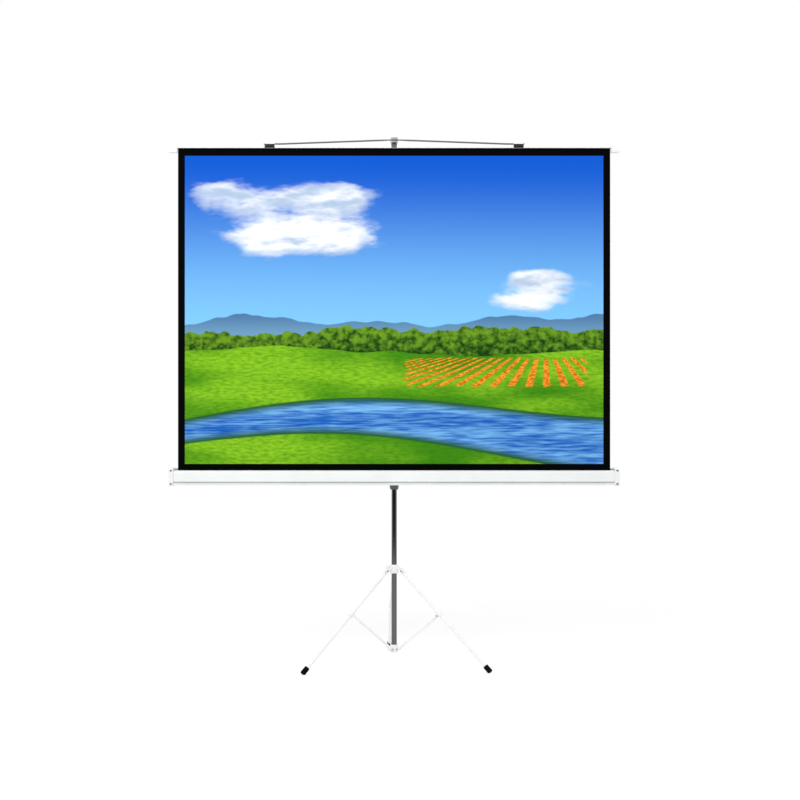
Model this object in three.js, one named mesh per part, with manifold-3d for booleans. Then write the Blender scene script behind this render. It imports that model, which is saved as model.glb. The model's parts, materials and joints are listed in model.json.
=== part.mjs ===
// Tripod projection screen: a roller screen in a long case, carried by a mast on three folding legs.
// Units are millimetres, +Z is up, +X is to the right of a viewer who faces the screen and looks along +Y.
import * as THREE from 'three';
import { mergeVertices } from 'three/addons/utils/BufferGeometryUtils.js';
import Module from 'manifold-3d';

const wasm = await Module();
wasm.setup();

// Clearances and facets
const GAP = 0.3;
const OVERCUT = 1;
const MERGE = 1e-4;
const ROUND = 24;
const TUBE_ROUND = 16;
const PIN_ROUND = 12;
const ARC_STEPS = 4;

// Tripod
const TRIPOD_YAW = 3;
const LEG_TILT = THREE.MathUtils.degToRad(46);
const LEG_REACH = 550;
const LEG_RADIUS = 8;
const LEG_WALL = 1.2;
const LEG_PIVOT_RADIUS = 36;
const EYE_THICKNESS = 8;
const EYE_RADIUS = 8;
const EYE_LENGTH = 14;
const EYE_SHOULDER = 4;
const EYE_PLUG = 22;
const FOOT_RADIUS = 11;
const FOOT_LENGTH = 32;
const FOOT_FLOOR = 12;
const FOOT_EDGE = 2.5;
const FOOT_RIM = 1;
const SOLE_CUT = 4;
const PIN_RADIUS = 2.5;
const HEAD_RADIUS = 4.5;
const HEAD_TOP_RADIUS = 3.15;
const HEAD_HEIGHT = 1.8;

// Leg clamps and braces
const CLAMP_AT = 236;
const CLAMP_DROP = 14;
const CLAMP_LENGTH = 26;
const CLAMP_WALL = 2.2;
const CLAMP_LUG_RADIUS = 6.5;
const CLAMP_LUG_BACK = 5;
const BRACE_PIVOT_RADIUS = 18;
const BRACE_PIVOT_Z = 65;
const BRACE_WIDTH = 11;
const BRACE_THICKNESS = 2.5;
const BEAD_WIDTH = 4;
const BEAD_HEIGHT = 1.2;
const BEAD_END = 20;

// Mast and hubs
const MAST_RADIUS = 11;
const MAST_WALL = 1.1;
const MAST_TOP = 1200;
const BASE_HUB_BOTTOM = 52;
const BASE_HUB_HEIGHT = 31;
const BASE_HUB_FLOOR = 4;
const BASE_HUB_WALL = 4.5;
const BASE_LUG_RADIUS = 8;
const LEG_HUB_WALL = 6.2;
const LEG_HUB_BELOW = 10;
const LEG_HUB_ABOVE = 25;
const LEG_HUB_EDGE = 2;
const EAR_THICKNESS = 4;
const EAR_RADIUS = 8.5;
const EAR_RISE = 20;
const HUB_KNOB_AZIMUTH = 153;
const HUB_KNOB_RISE = 14;
const HUB_BOSS_RADIUS = 7;
const HUB_BOSS_LENGTH = 4.5;
const HUB_KNOB_RADIUS = 11;
const HUB_KNOB_HEIGHT = 12;
const HUB_SCREW_RADIUS = 3;
const KNOB_LOBES = 6;
const KNOB_DIP = 0.08;

// Extension rod, its lock and the hook
const ROD_RADIUS = 9;
const ROD_WALL = 1.2;
const ROD_LENGTH = 1118;
const BUSH_FLANGE = 8;
const BUSH_PLUG = 15;
const COLLAR_HEIGHT = 36;
const COLLAR_LIP = 4;
const COLLAR_WALL = 5.7;
const COLLAR_EDGE = 2;
const BUTTON_DROP = 16;
const BUTTON_RADIUS = 5;
const BUTTON_CAP_RADIUS = 7.5;
const BUTTON_CAP = 5;
const BUTTON_EDGE = 1;
const BUTTON_TRAVEL = 2;
const BUTTON_BOSS_RADIUS = 8.5;
const BUTTON_BOSS_REACH = 22;
const CAP_WALL = 3.7;
const CAP_GRIP = 22;
const CAP_ROOF = 5;
const HOOK_WIDTH = 26;
const HOOK_CROWN_WIDTH = 31;
const HOOK_CROWN = 14;
const HOOK_LIP = 3;
const HOOK_LIP_BELOW_WIRE = 3.9;
const HOOK_SLACK = 2.2;
const HOOK_FLOOR = 7;
const HOOK_WALL = 6;

// Screen fabric and roller
const FABRIC_WIDTH = 1762;
const FABRIC_THICKNESS = 0.6;
const FABRIC_TO_MAST = 47;
const CASE_AXIS_Z = 770;
const FABRIC_RISE = 1343;
const ROLLER_RADIUS = 16;
const ROLLER_WALL = 1.2;
const ROLLER_OVERHANG = 3;
const FABRIC_ROLL = 1.3;
const PLUG_LENGTH = 44;
const PLUG_FLANGE = 2.5;
const AXLE_RADIUS = 5;
const AXLE_IN_PLUG = 34;
const ARBOR_RADIUS = 3.5;
const ARBOR_LENGTH = 400;
const SPRING_RADIUS = 9;
const SPRING_WIRE = 1.2;
const SPRING_TURNS = 16;
const SPRING_PITCH = 20;
const SPRING_STEPS = 8;
const SPRING_SIDES = 6;

// Case
const CASE_FRONT = 30;
const CASE_BACK = 30;
const CASE_TOP = 30;
const CASE_REAR_TOP = 38;
const CASE_BOTTOM = 29;
const CASE_CHAMFER = 6;
const CASE_WALL = 1.6;
const CASE_SLOT = 12;
const CASE_OVERHANG = 12;
const GROOVE_TOP = 13;
const GROOVE_DEPTH = 4;
const GROOVE_SLOPE = 2.5;
const GROOVE_HEIGHT = 5;
const END_CAP_LENGTH = 19.7;
const END_CAP_MARGIN = 3.5;
const END_CAP_CORNER = 9;
const SPIGOT_RADIUS = 20;
const SPIGOT_LENGTH = 5;
const AXLE_IN_CAP = 12;

// Carrier, swivel bolt and bracket
const CARRIER_BOTTOM = 719;
const CARRIER_TAPER = 23;
const CARRIER_HEIGHT = 111;
const CARRIER_SHOULDER = 30;
const CARRIER_NECK_WALL = 5;
const CARRIER_WALL = 9;
const SWIVEL_BOSS_RADIUS = 18;
const BRACKET_SPACE = 8;
const BRACKET_STEEL = 2.5;
const BRACKET_WEB = 70;
const BRACKET_FLANGE = 25;
const BRACKET_HEIGHT = 44;
const BOLT_RADIUS = 4;
const BOLT_HEAD_RADIUS = 8;
const BOLT_HEAD = 3.5;
const BOLT_GRIP = 12;
const LOCK_RISE = 15;
const LOCK_BOSS_RADIUS = 9;
const LOCK_BOSS_LENGTH = 6;
const LOCK_SCREW_RADIUS = 4;
const LOCK_KNOB_RADIUS = 15;
const LOCK_KNOB_HEIGHT = 16;

// Top slat and bail
const SLAT_DEPTH = 18;
const SLAT_HEIGHT = 13;
const SLAT_WALL = 1.6;
const SLAT_GROOVE = 1.4;
const SLAT_GROOVE_DEPTH = 5;
const SLAT_EDGE = 4;
const SLAT_OVERHANG = 2;
const SLAT_CAP_LENGTH = 34;
const SLAT_CAP_DEPTH = 24;
const SLAT_CAP_ABOVE = 2;
const SLAT_CAP_BELOW = 20;
const SLAT_CAP_CORNER = 5;
const BAIL_BRACKET_AT = 487;
const BAIL_BRACKET_LENGTH = 40;
const BAIL_BRACKET_WALL = 2.2;
const BAIL_BOSS_RADIUS = 5.5;
const BAIL_WIRE_RADIUS = 2.5;
const BAIL_BEND_AT = 462;
const BAIL_CROWN = 12;
const BAIL_SLOPE = Math.tan(THREE.MathUtils.degToRad(3.3));
const BAIL_LEAN = THREE.MathUtils.degToRad(42);
const BAIL_STEPS = 48;
const BAIL_SIDES = 8;
const BAIL_END = 4;

// Values that follow from the sizes above
const EAR_OFFSET = EYE_THICKNESS / 2 + GAP;
const LEG_PIVOT_Z = LEG_REACH * Math.cos(LEG_TILT) + FOOT_RADIUS * Math.sin(LEG_TILT) - SOLE_CUT;
const TUBE_START = EYE_LENGTH + EYE_SHOULDER + GAP;
const TUBE_END = LEG_REACH - FOOT_FLOOR - GAP;
const CLAMP_RADIUS = LEG_RADIUS + GAP + CLAMP_WALL;
const CLAMP_PIN_RADIUS = LEG_PIVOT_RADIUS + CLAMP_AT * Math.sin(LEG_TILT) - CLAMP_DROP * Math.cos(LEG_TILT);
const CLAMP_PIN_Z = LEG_PIVOT_Z - CLAMP_AT * Math.cos(LEG_TILT) - CLAMP_DROP * Math.sin(LEG_TILT);
const BRACE_OUT = CLAMP_PIN_RADIUS - BRACE_PIVOT_RADIUS;
const BRACE_UP = CLAMP_PIN_Z - BRACE_PIVOT_Z;
const BRACE_LENGTH = Math.hypot(BRACE_OUT, BRACE_UP);
const BRACE_TILT = Math.atan2(BRACE_OUT, BRACE_UP);
const BRACE_NEAR = CLAMP_RADIUS + GAP;
const BRACE_FAR = BRACE_NEAR + BRACE_THICKNESS;

const SLIDE_BORE = MAST_RADIUS + GAP;
const MAST_BORE = MAST_RADIUS - MAST_WALL;
const MAST_BOTTOM = BASE_HUB_BOTTOM + BASE_HUB_FLOOR;
const COLLAR_TOP = MAST_TOP + GAP + COLLAR_LIP;
const COLLAR_BOTTOM = COLLAR_TOP - COLLAR_HEIGHT;
const COLLAR_RADIUS = SLIDE_BORE + COLLAR_WALL;
const BUTTON_Z = MAST_TOP - BUTTON_DROP;
const HUB_KNOB_Z = LEG_PIVOT_Z + HUB_KNOB_RISE;
const LEG_HUB_RADIUS = SLIDE_BORE + LEG_HUB_WALL;
const CARRIER_RADIUS = SLIDE_BORE + CARRIER_WALL;
const CARRIER_TOP = CARRIER_BOTTOM + CARRIER_HEIGHT;

const ROLL_RADIUS = ROLLER_RADIUS + GAP + FABRIC_ROLL;
const FABRIC_OFFSET = ROLL_RADIUS + GAP + FABRIC_THICKNESS / 2;
const CASE_AXIS_Y = -FABRIC_TO_MAST - FABRIC_OFFSET;
const CASE_BACK_Y = CASE_AXIS_Y + CASE_BACK;
const ROLLER_HALF = FABRIC_WIDTH / 2 + ROLLER_OVERHANG;
const PLUG_FACE = ROLLER_HALF + GAP + PLUG_FLANGE;
const SHELL_HALF = FABRIC_WIDTH / 2 + CASE_OVERHANG;
const CAP_FACE = SHELL_HALF + GAP;
const BRACKET_FACE_Y = CASE_BACK_Y + BRACKET_SPACE;
const SWIVEL_FACE_Y = BRACKET_FACE_Y + GAP;
const LOCK_BOSS_END = CARRIER_RADIUS + LOCK_BOSS_LENGTH;

const SLAT_BOTTOM_Z = CASE_AXIS_Z + FABRIC_RISE;
const SLAT_HALF = FABRIC_WIDTH / 2 + SLAT_OVERHANG;
const BAIL_PIN_RISE = SLAT_HEIGHT + GAP + BAIL_WIRE_RADIUS + GAP + BAIL_BRACKET_WALL / 2;
const BAIL_PIN_Z = SLAT_BOTTOM_Z + BAIL_PIN_RISE;
const BAIL_HALF = BAIL_BRACKET_AT + BAIL_BRACKET_LENGTH + BAIL_END;
const BAIL_HEIGHT = BAIL_SLOPE * (BAIL_BEND_AT - BAIL_CROWN / 2);
const WIRE_Y = -FABRIC_TO_MAST + BAIL_HEIGHT * Math.sin(BAIL_LEAN);
const WIRE_Z = BAIL_PIN_Z + BAIL_HEIGHT * Math.cos(BAIL_LEAN);
const HOOK_SEAT = WIRE_Z - BAIL_WIRE_RADIUS - HOOK_SLACK;
const ROD_TOP = HOOK_SEAT - HOOK_FLOOR - CAP_ROOF;
const ROD_BOTTOM = ROD_TOP - ROD_LENGTH;

// Materials
function finish(color, roughness, metalness) {
  return new THREE.MeshStandardMaterial({ color, roughness, metalness });
}

const whitePaint = finish(0xeef2f1, 0.4, 0.0);
const whitePlastic = finish(0xe9ecec, 0.45, 0.0);
const darkPlastic = finish(0x59625f, 0.5, 0.0);
const blackPlastic = finish(0x1b1c1d, 0.5, 0.0);
const blackRubber = finish(0x141414, 0.85, 0.0);
const darkChrome = finish(0x6f6d6c, 0.2, 1.0);
const steel = finish(0xa7a9aa, 0.35, 1.0);
const fabric = finish(0xf2f3f2, 0.95, 0.0);

// Solid helpers: every helper takes and gives closed geometry with shared vertices
function tidy(geometry) {
  const bare = geometry.clone();
  for (const name of Object.keys(bare.attributes)) {
    if (name !== 'position') bare.deleteAttribute(name);
  }
  const merged = mergeVertices(bare, MERGE);
  const corners = merged.index.array;
  const kept = [];
  for (let i = 0; i < corners.length; i += 3) {
    const [a, b, c] = [corners[i], corners[i + 1], corners[i + 2]];
    if (a !== b && b !== c && c !== a) kept.push(a, b, c);
  }
  merged.setIndex(kept);
  return merged;
}

function toSolid(geometry) {
  const closed = tidy(geometry);
  const mesh = new wasm.Mesh({
    numProp: 3,
    vertProperties: new Float32Array(closed.attributes.position.array),
    triVerts: new Uint32Array(closed.index.array),
  });
  return new wasm.Manifold(mesh);
}

function toGeometry(solid) {
  const mesh = solid.getMesh();
  const geometry = new THREE.BufferGeometry();
  geometry.setAttribute('position', new THREE.BufferAttribute(new Float32Array(mesh.vertProperties), 3));
  geometry.setIndex(new THREE.BufferAttribute(new Uint32Array(mesh.triVerts), 1));
  return geometry;
}

function join(first, ...others) {
  return toGeometry(others.reduce((sum, other) => sum.add(toSolid(other)), toSolid(first)));
}

function cut(first, ...tools) {
  return toGeometry(tools.reduce((rest, tool) => rest.subtract(toSolid(tool)), toSolid(first)));
}

// A profile of [radius, z] points, drawn up the outside and down the inside, turned about Z
function revolve(profile, sides = ROUND) {
  const points = profile.map(([radius, z]) => new THREE.Vector2(radius, z));
  points.push(points[0].clone());
  return new THREE.LatheGeometry(points, sides).rotateX(Math.PI / 2);
}

function pipe(outer, inner, z0, z1, sides = ROUND) {
  return revolve([[outer, z0], [outer, z1], [inner, z1], [inner, z0]], sides);
}

function rod(radius, z0, z1, sides = ROUND) {
  return revolve([[0, z0], [radius, z0], [radius, z1], [0, z1]], sides);
}

// Turned pieces laid along X or Y
function layAlongX(geometry) {
  return geometry.rotateY(Math.PI / 2);
}

function layAlongY(geometry) {
  return geometry.rotateX(-Math.PI / 2);
}

function outline(points) {
  return new THREE.Shape(points.map(([u, v]) => new THREE.Vector2(u, v)));
}

function hole(u, v, radius) {
  return new THREE.Path().absarc(u, v, radius, 0, 2 * Math.PI, true);
}

function extrude(shape, depth, segments = ARC_STEPS) {
  return new THREE.ExtrudeGeometry(shape, { depth, bevelEnabled: false, curveSegments: segments });
}

// A shape drawn in Y and Z, extruded along X
function barAlongX(shape, x0, x1) {
  const turn = new THREE.Matrix4().makeBasis(
    new THREE.Vector3(0, 1, 0),
    new THREE.Vector3(0, 0, 1),
    new THREE.Vector3(1, 0, 0),
  );
  return extrude(shape, x1 - x0).applyMatrix4(turn).translate(x0, 0, 0);
}

// A shape drawn in X and Z, extruded along Y
function plateAlongY(shape, y0, y1) {
  return extrude(shape, y1 - y0).rotateX(Math.PI / 2).translate(0, y1, 0);
}

// A strip with two round ends, drawn up from (u, v)
function stadium(u, v, radius, length) {
  const shape = new THREE.Shape();
  shape.absarc(u, v + length, radius, 0, Math.PI, false);
  shape.absarc(u, v, radius, Math.PI, 2 * Math.PI, false);
  return shape;
}

function roundedBox(u0, v0, u1, v1, corner) {
  const shape = new THREE.Shape();
  shape.absarc(u1 - corner, v1 - corner, corner, 0, Math.PI / 2, false);
  shape.absarc(u0 + corner, v1 - corner, corner, Math.PI / 2, Math.PI, false);
  shape.absarc(u0 + corner, v0 + corner, corner, Math.PI, 1.5 * Math.PI, false);
  shape.absarc(u1 - corner, v0 + corner, corner, 1.5 * Math.PI, 2 * Math.PI, false);
  return shape;
}

// The same outline moved in by a wall, for outlines drawn counterclockwise
function inset(points, wall) {
  return points.map((point, i) => {
    const here = new THREE.Vector2(...point);
    const before = new THREE.Vector2(...points[(i + points.length - 1) % points.length]);
    const after = new THREE.Vector2(...points[(i + 1) % points.length]);
    const along = here.clone().sub(before).normalize();
    const onward = after.sub(here).normalize();
    const inward = new THREE.Vector2(-along.y - onward.y, along.x + onward.x).normalize();
    const reach = wall / (inward.x * -along.y + inward.y * along.x);
    return [here.x + inward.x * reach, here.y + inward.y * reach];
  });
}

// A knob with shallow finger lobes and its screw, turned about Z: the screw runs from z0, the grip to z2
function thumbKnob(screwRadius, knobRadius, z0, z1, z2) {
  const points = [];
  for (let i = 0; i < KNOB_LOBES * ARC_STEPS; i += 1) {
    const angle = (2 * Math.PI * i) / (KNOB_LOBES * ARC_STEPS);
    const radius = knobRadius * (1 - KNOB_DIP + KNOB_DIP * Math.cos(KNOB_LOBES * angle));
    points.push([radius * Math.cos(angle), radius * Math.sin(angle)]);
  }
  const grip = extrude(outline(points), z2 - z1).translate(0, 0, z1);
  const screw = rod(screwRadius, z0, (z1 + z2) / 2, PIN_ROUND);
  return join(grip, screw);
}

// A rivet along Y with a head past each face
function rivet(y0, y1) {
  return layAlongY(revolve([
    [0, y0 - HEAD_HEIGHT],
    [HEAD_TOP_RADIUS, y0 - HEAD_HEIGHT],
    [HEAD_RADIUS, y0],
    [PIN_RADIUS, y0],
    [PIN_RADIUS, y1],
    [HEAD_RADIUS, y1],
    [HEAD_TOP_RADIUS, y1 + HEAD_HEIGHT],
    [0, y1 + HEAD_HEIGHT],
  ], PIN_ROUND));
}

function pinHole(y0, y1) {
  return layAlongY(rod(PIN_RADIUS + GAP, y0 - OVERCUT, y1 + OVERCUT, PIN_ROUND));
}

function addPart(parent, name, geometry, material) {
  const part = new THREE.Mesh(tidy(geometry), material);
  part.name = name;
  parent.add(part);
}

const model = new THREE.Group();
const stand = new THREE.Group();
model.add(stand);

const legs = [
  { name: 'rear', azimuth: 90 + TRIPOD_YAW },
  { name: 'left', azimuth: 210 + TRIPOD_YAW },
  { name: 'right', azimuth: 330 + TRIPOD_YAW },
];

// A group whose X axis points away from the mast
function spokeAt(azimuth) {
  const spoke = new THREE.Group();
  spoke.rotation.z = THREE.MathUtils.degToRad(azimuth);
  stand.add(spoke);
  return spoke;
}

function turnedAbout(geometry, azimuth) {
  return geometry.rotateZ(THREE.MathUtils.degToRad(azimuth));
}

// Mast
function mastTube() {
  const tube = pipe(MAST_RADIUS, MAST_BORE, MAST_BOTTOM, MAST_TOP);
  const window = layAlongY(rod(BUTTON_RADIUS + 2 * GAP, 0, 2 * MAST_RADIUS, PIN_ROUND));
  window.translate(0, 0, BUTTON_Z);
  return cut(tube, window);
}

// Base hub: a cup for the mast with three wide lugs for the braces
function baseHub() {
  const top = BASE_HUB_BOTTOM + BASE_HUB_HEIGHT;
  const outer = SLIDE_BORE + BASE_HUB_WALL;
  const lugs = legs.map(({ azimuth }) => {
    const shape = new THREE.Shape();
    shape.moveTo(0, BRACE_PIVOT_Z - BASE_LUG_RADIUS);
    shape.absarc(BRACE_PIVOT_RADIUS, BRACE_PIVOT_Z, BASE_LUG_RADIUS, -Math.PI / 2, Math.PI / 2, false);
    shape.lineTo(0, BRACE_PIVOT_Z + BASE_LUG_RADIUS);
    return turnedAbout(plateAlongY(shape, -CLAMP_RADIUS, CLAMP_RADIUS), azimuth);
  });
  const pins = legs.map(({ azimuth }) => {
    const bore = pinHole(-CLAMP_RADIUS, CLAMP_RADIUS).translate(BRACE_PIVOT_RADIUS, 0, BRACE_PIVOT_Z);
    return turnedAbout(bore, azimuth);
  });
  const socket = rod(SLIDE_BORE, MAST_BOTTOM - GAP, top + OVERCUT);
  return cut(join(rod(outer, BASE_HUB_BOTTOM, top), ...lugs), socket, ...pins);
}

// Leg hub: a sliding sleeve with a pair of ears for each leg and a boss for its thumb knob
function legHub() {
  const bottom = LEG_PIVOT_Z - LEG_HUB_BELOW;
  const top = LEG_PIVOT_Z + LEG_HUB_ABOVE;
  const sleeve = revolve([
    [0, bottom],
    [LEG_HUB_RADIUS, bottom],
    [LEG_HUB_RADIUS, top - LEG_HUB_EDGE],
    [LEG_HUB_RADIUS - LEG_HUB_EDGE, top],
    [0, top],
  ]);
  const ears = [];
  const pins = [];
  for (const { azimuth } of legs) {
    const shape = new THREE.Shape();
    shape.moveTo(0, LEG_PIVOT_Z - EAR_RADIUS);
    shape.absarc(LEG_PIVOT_RADIUS, LEG_PIVOT_Z, EAR_RADIUS, -Math.PI / 2, Math.PI / 4, false);
    shape.lineTo(SLIDE_BORE, LEG_PIVOT_Z + EAR_RISE);
    shape.lineTo(0, LEG_PIVOT_Z + EAR_RISE);
    for (const y of [EAR_OFFSET, -EAR_OFFSET - EAR_THICKNESS]) {
      ears.push(turnedAbout(plateAlongY(shape, y, y + EAR_THICKNESS), azimuth));
    }
    const reach = EAR_OFFSET + EAR_THICKNESS;
    pins.push(turnedAbout(pinHole(-reach, reach).translate(LEG_PIVOT_RADIUS, 0, LEG_PIVOT_Z), azimuth));
  }
  const bossEnd = LEG_HUB_RADIUS + HUB_BOSS_LENGTH;
  const boss = layAlongX(rod(HUB_BOSS_RADIUS, 0, bossEnd, TUBE_ROUND)).translate(0, 0, HUB_KNOB_Z);
  const screwHole = layAlongX(rod(HUB_SCREW_RADIUS + GAP, 0, bossEnd + OVERCUT, PIN_ROUND));
  screwHole.translate(0, 0, HUB_KNOB_Z);
  const body = join(sleeve, ...ears, turnedAbout(boss, HUB_KNOB_AZIMUTH));
  const bore = rod(SLIDE_BORE, bottom - OVERCUT, top + OVERCUT);
  return cut(body, bore, turnedAbout(screwHole, HUB_KNOB_AZIMUTH), ...pins);
}

function hubKnob() {
  const face = LEG_HUB_RADIUS + HUB_BOSS_LENGTH + GAP;
  const knob = thumbKnob(HUB_SCREW_RADIUS, HUB_KNOB_RADIUS, SLIDE_BORE, face, face + HUB_KNOB_HEIGHT);
  return turnedAbout(layAlongX(knob).translate(0, 0, HUB_KNOB_Z), HUB_KNOB_AZIMUTH);
}

// Leg pieces, drawn with the pivot at the origin and the leg straight down
function legEye() {
  const half = EYE_THICKNESS / 2;
  const tongue = plateAlongY(stadium(0, -EYE_LENGTH, EYE_RADIUS, EYE_LENGTH), -half, half);
  const floor = rod(LEG_RADIUS, -EYE_LENGTH - EYE_RADIUS, -EYE_LENGTH, TUBE_ROUND);
  const shank = revolve([
    [0, -TUBE_START - EYE_PLUG],
    [LEG_RADIUS - LEG_WALL - GAP, -TUBE_START - EYE_PLUG],
    [LEG_RADIUS - LEG_WALL - GAP, -EYE_LENGTH - EYE_SHOULDER],
    [LEG_RADIUS, -EYE_LENGTH - EYE_SHOULDER],
    [LEG_RADIUS, -EYE_LENGTH],
    [0, -EYE_LENGTH],
  ], TUBE_ROUND);
  return cut(join(cut(tongue, floor), shank), pinHole(-half, half));
}

function legTube() {
  return pipe(LEG_RADIUS, LEG_RADIUS - LEG_WALL, -TUBE_END, -TUBE_START, TUBE_ROUND);
}

function legClamp() {
  const half = CLAMP_LENGTH / 2;
  const sleeve = rod(CLAMP_RADIUS, -half, half, TUBE_ROUND);
  const shape = new THREE.Shape();
  shape.moveTo(0, CLAMP_LUG_RADIUS);
  shape.absarc(-CLAMP_DROP, 0, CLAMP_LUG_RADIUS, Math.PI / 2, 1.5 * Math.PI, false);
  shape.lineTo(0, -CLAMP_LUG_RADIUS);
  const lug = plateAlongY(shape, -CLAMP_LUG_BACK, CLAMP_RADIUS);
  const bore = rod(LEG_RADIUS + GAP, -half - OVERCUT, half + OVERCUT, TUBE_ROUND);
  const pin = pinHole(-CLAMP_LUG_BACK, CLAMP_RADIUS).translate(-CLAMP_DROP, 0, 0);
  return cut(join(sleeve, lug), bore, pin);
}

function clampRivet() {
  const face = -CLAMP_LUG_BACK - GAP;
  return layAlongY(revolve([
    [0, face - HEAD_HEIGHT],
    [HEAD_TOP_RADIUS, face - HEAD_HEIGHT],
    [HEAD_RADIUS, face],
    [PIN_RADIUS, face],
    [PIN_RADIUS, CLAMP_RADIUS],
    [0, CLAMP_RADIUS],
  ], PIN_ROUND)).translate(-CLAMP_DROP, 0, 0);
}

function foot(swing) {
  const top = FOOT_LENGTH - LEG_REACH;
  const boot = revolve([
    [0, -LEG_REACH],
    [FOOT_RADIUS - FOOT_EDGE, -LEG_REACH],
    [FOOT_RADIUS, FOOT_EDGE - LEG_REACH],
    [FOOT_RADIUS, top - FOOT_EDGE],
    [LEG_RADIUS + GAP + FOOT_RIM, top],
    [LEG_RADIUS + GAP, top],
    [LEG_RADIUS + GAP, -TUBE_END - GAP],
    [0, -TUBE_END - GAP],
  ], TUBE_ROUND);
  const side = 8 * FOOT_RADIUS;
  const reach = LEG_PIVOT_RADIUS + LEG_REACH * Math.sin(LEG_TILT);
  const ground = new THREE.BoxGeometry(side, side, side).translate(reach, 0, -side / 2);
  swing.updateMatrix();
  return cut(boot, ground.applyMatrix4(swing.matrix.clone().invert()));
}

// Brace: a stamped strip with a raised bead, drawn upright from its pivot on the base hub
function brace() {
  const strip = plateAlongY(stadium(0, 0, BRACE_WIDTH / 2, BRACE_LENGTH), BRACE_NEAR, BRACE_FAR);
  const beadLength = BRACE_LENGTH - 2 * BEAD_END;
  const beadShape = stadium(0, BEAD_END, BEAD_WIDTH / 2, beadLength);
  const bead = plateAlongY(beadShape, BRACE_NEAR + GAP, BRACE_FAR + BEAD_HEIGHT);
  const head = layAlongY(revolve([
    [0, BRACE_NEAR + GAP],
    [HEAD_RADIUS, BRACE_NEAR + GAP],
    [HEAD_RADIUS, BRACE_FAR],
    [HEAD_TOP_RADIUS, BRACE_FAR + HEAD_HEIGHT],
    [0, BRACE_FAR + HEAD_HEIGHT],
  ], PIN_ROUND)).translate(0, 0, BRACE_LENGTH);
  return cut(join(strip, bead, head), pinHole(BRACE_NEAR, BRACE_FAR));
}

function addTripod() {
  addPart(stand, 'mast_tube', mastTube(), darkChrome);
  addPart(stand, 'base_hub', baseHub(), whitePlastic);
  addPart(stand, 'leg_hub', legHub(), whitePlastic);
  addPart(stand, 'hub_knob', hubKnob(), whitePlastic);
  for (const { name, azimuth } of legs) {
    const spoke = spokeAt(azimuth);
    const swing = new THREE.Group();
    swing.position.set(LEG_PIVOT_RADIUS, 0, LEG_PIVOT_Z);
    swing.rotation.y = -LEG_TILT;
    spoke.add(swing);
    const earFace = EAR_OFFSET + EAR_THICKNESS + GAP;
    const legPin = rivet(-earFace, earFace).translate(LEG_PIVOT_RADIUS, 0, LEG_PIVOT_Z);
    addPart(spoke, `leg_pivot_${name}`, legPin, steel);
    addPart(swing, `leg_eye_${name}`, legEye(), whitePlastic);
    addPart(swing, `leg_tube_${name}`, legTube(), whitePaint);
    addPart(swing, `leg_clamp_${name}`, legClamp().translate(0, 0, -CLAMP_AT), whitePlastic);
    addPart(swing, `clamp_rivet_${name}`, clampRivet().translate(0, 0, -CLAMP_AT), steel);
    addPart(swing, `foot_${name}`, foot(swing), blackRubber);

    const basePin = rivet(-CLAMP_RADIUS - GAP, BRACE_FAR + GAP);
    addPart(spoke, `base_rivet_${name}`, basePin.translate(BRACE_PIVOT_RADIUS, 0, BRACE_PIVOT_Z), steel);
    const strut = new THREE.Group();
    strut.position.set(BRACE_PIVOT_RADIUS, 0, BRACE_PIVOT_Z);
    strut.rotation.y = BRACE_TILT;
    spoke.add(strut);
    addPart(strut, `brace_${name}`, brace(), whitePaint);
  }
}

// Extension rod with its lock at the top of the mast
function lockCollar() {
  const body = revolve([
    [0, COLLAR_BOTTOM],
    [COLLAR_RADIUS - COLLAR_EDGE, COLLAR_BOTTOM],
    [COLLAR_RADIUS, COLLAR_BOTTOM + COLLAR_EDGE],
    [COLLAR_RADIUS, COLLAR_TOP - COLLAR_EDGE],
    [COLLAR_RADIUS - COLLAR_EDGE, COLLAR_TOP],
    [0, COLLAR_TOP],
  ]);
  const boss = layAlongY(rod(BUTTON_BOSS_RADIUS, 0, BUTTON_BOSS_REACH, TUBE_ROUND)).translate(0, 0, BUTTON_Z);
  const mastBore = rod(SLIDE_BORE, COLLAR_BOTTOM - OVERCUT, MAST_TOP + GAP);
  const rodBore = rod(ROD_RADIUS + GAP, COLLAR_BOTTOM, COLLAR_TOP + OVERCUT);
  const bore = layAlongY(rod(BUTTON_RADIUS + GAP, 0, BUTTON_BOSS_REACH + OVERCUT, PIN_ROUND));
  bore.translate(0, 0, BUTTON_Z);
  return cut(join(body, boss), mastBore, rodBore, bore);
}

function lockButton() {
  const tip = ROD_RADIUS + GAP + BUTTON_TRAVEL;
  const under = BUTTON_BOSS_REACH + GAP + BUTTON_TRAVEL;
  const button = revolve([
    [0, tip],
    [BUTTON_RADIUS, tip],
    [BUTTON_RADIUS, under],
    [BUTTON_CAP_RADIUS, under],
    [BUTTON_CAP_RADIUS, under + BUTTON_CAP - BUTTON_EDGE],
    [BUTTON_CAP_RADIUS - BUTTON_EDGE, under + BUTTON_CAP],
    [0, under + BUTTON_CAP],
  ], PIN_ROUND);
  return layAlongY(button).translate(0, 0, BUTTON_Z);
}

function guideBush() {
  const plug = ROD_RADIUS - ROD_WALL - GAP;
  return revolve([
    [0, ROD_BOTTOM - GAP - BUSH_FLANGE],
    [MAST_BORE - GAP, ROD_BOTTOM - GAP - BUSH_FLANGE],
    [MAST_BORE - GAP, ROD_BOTTOM - GAP],
    [plug, ROD_BOTTOM - GAP],
    [plug, ROD_BOTTOM + BUSH_PLUG],
    [0, ROD_BOTTOM + BUSH_PLUG],
  ]);
}

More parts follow.
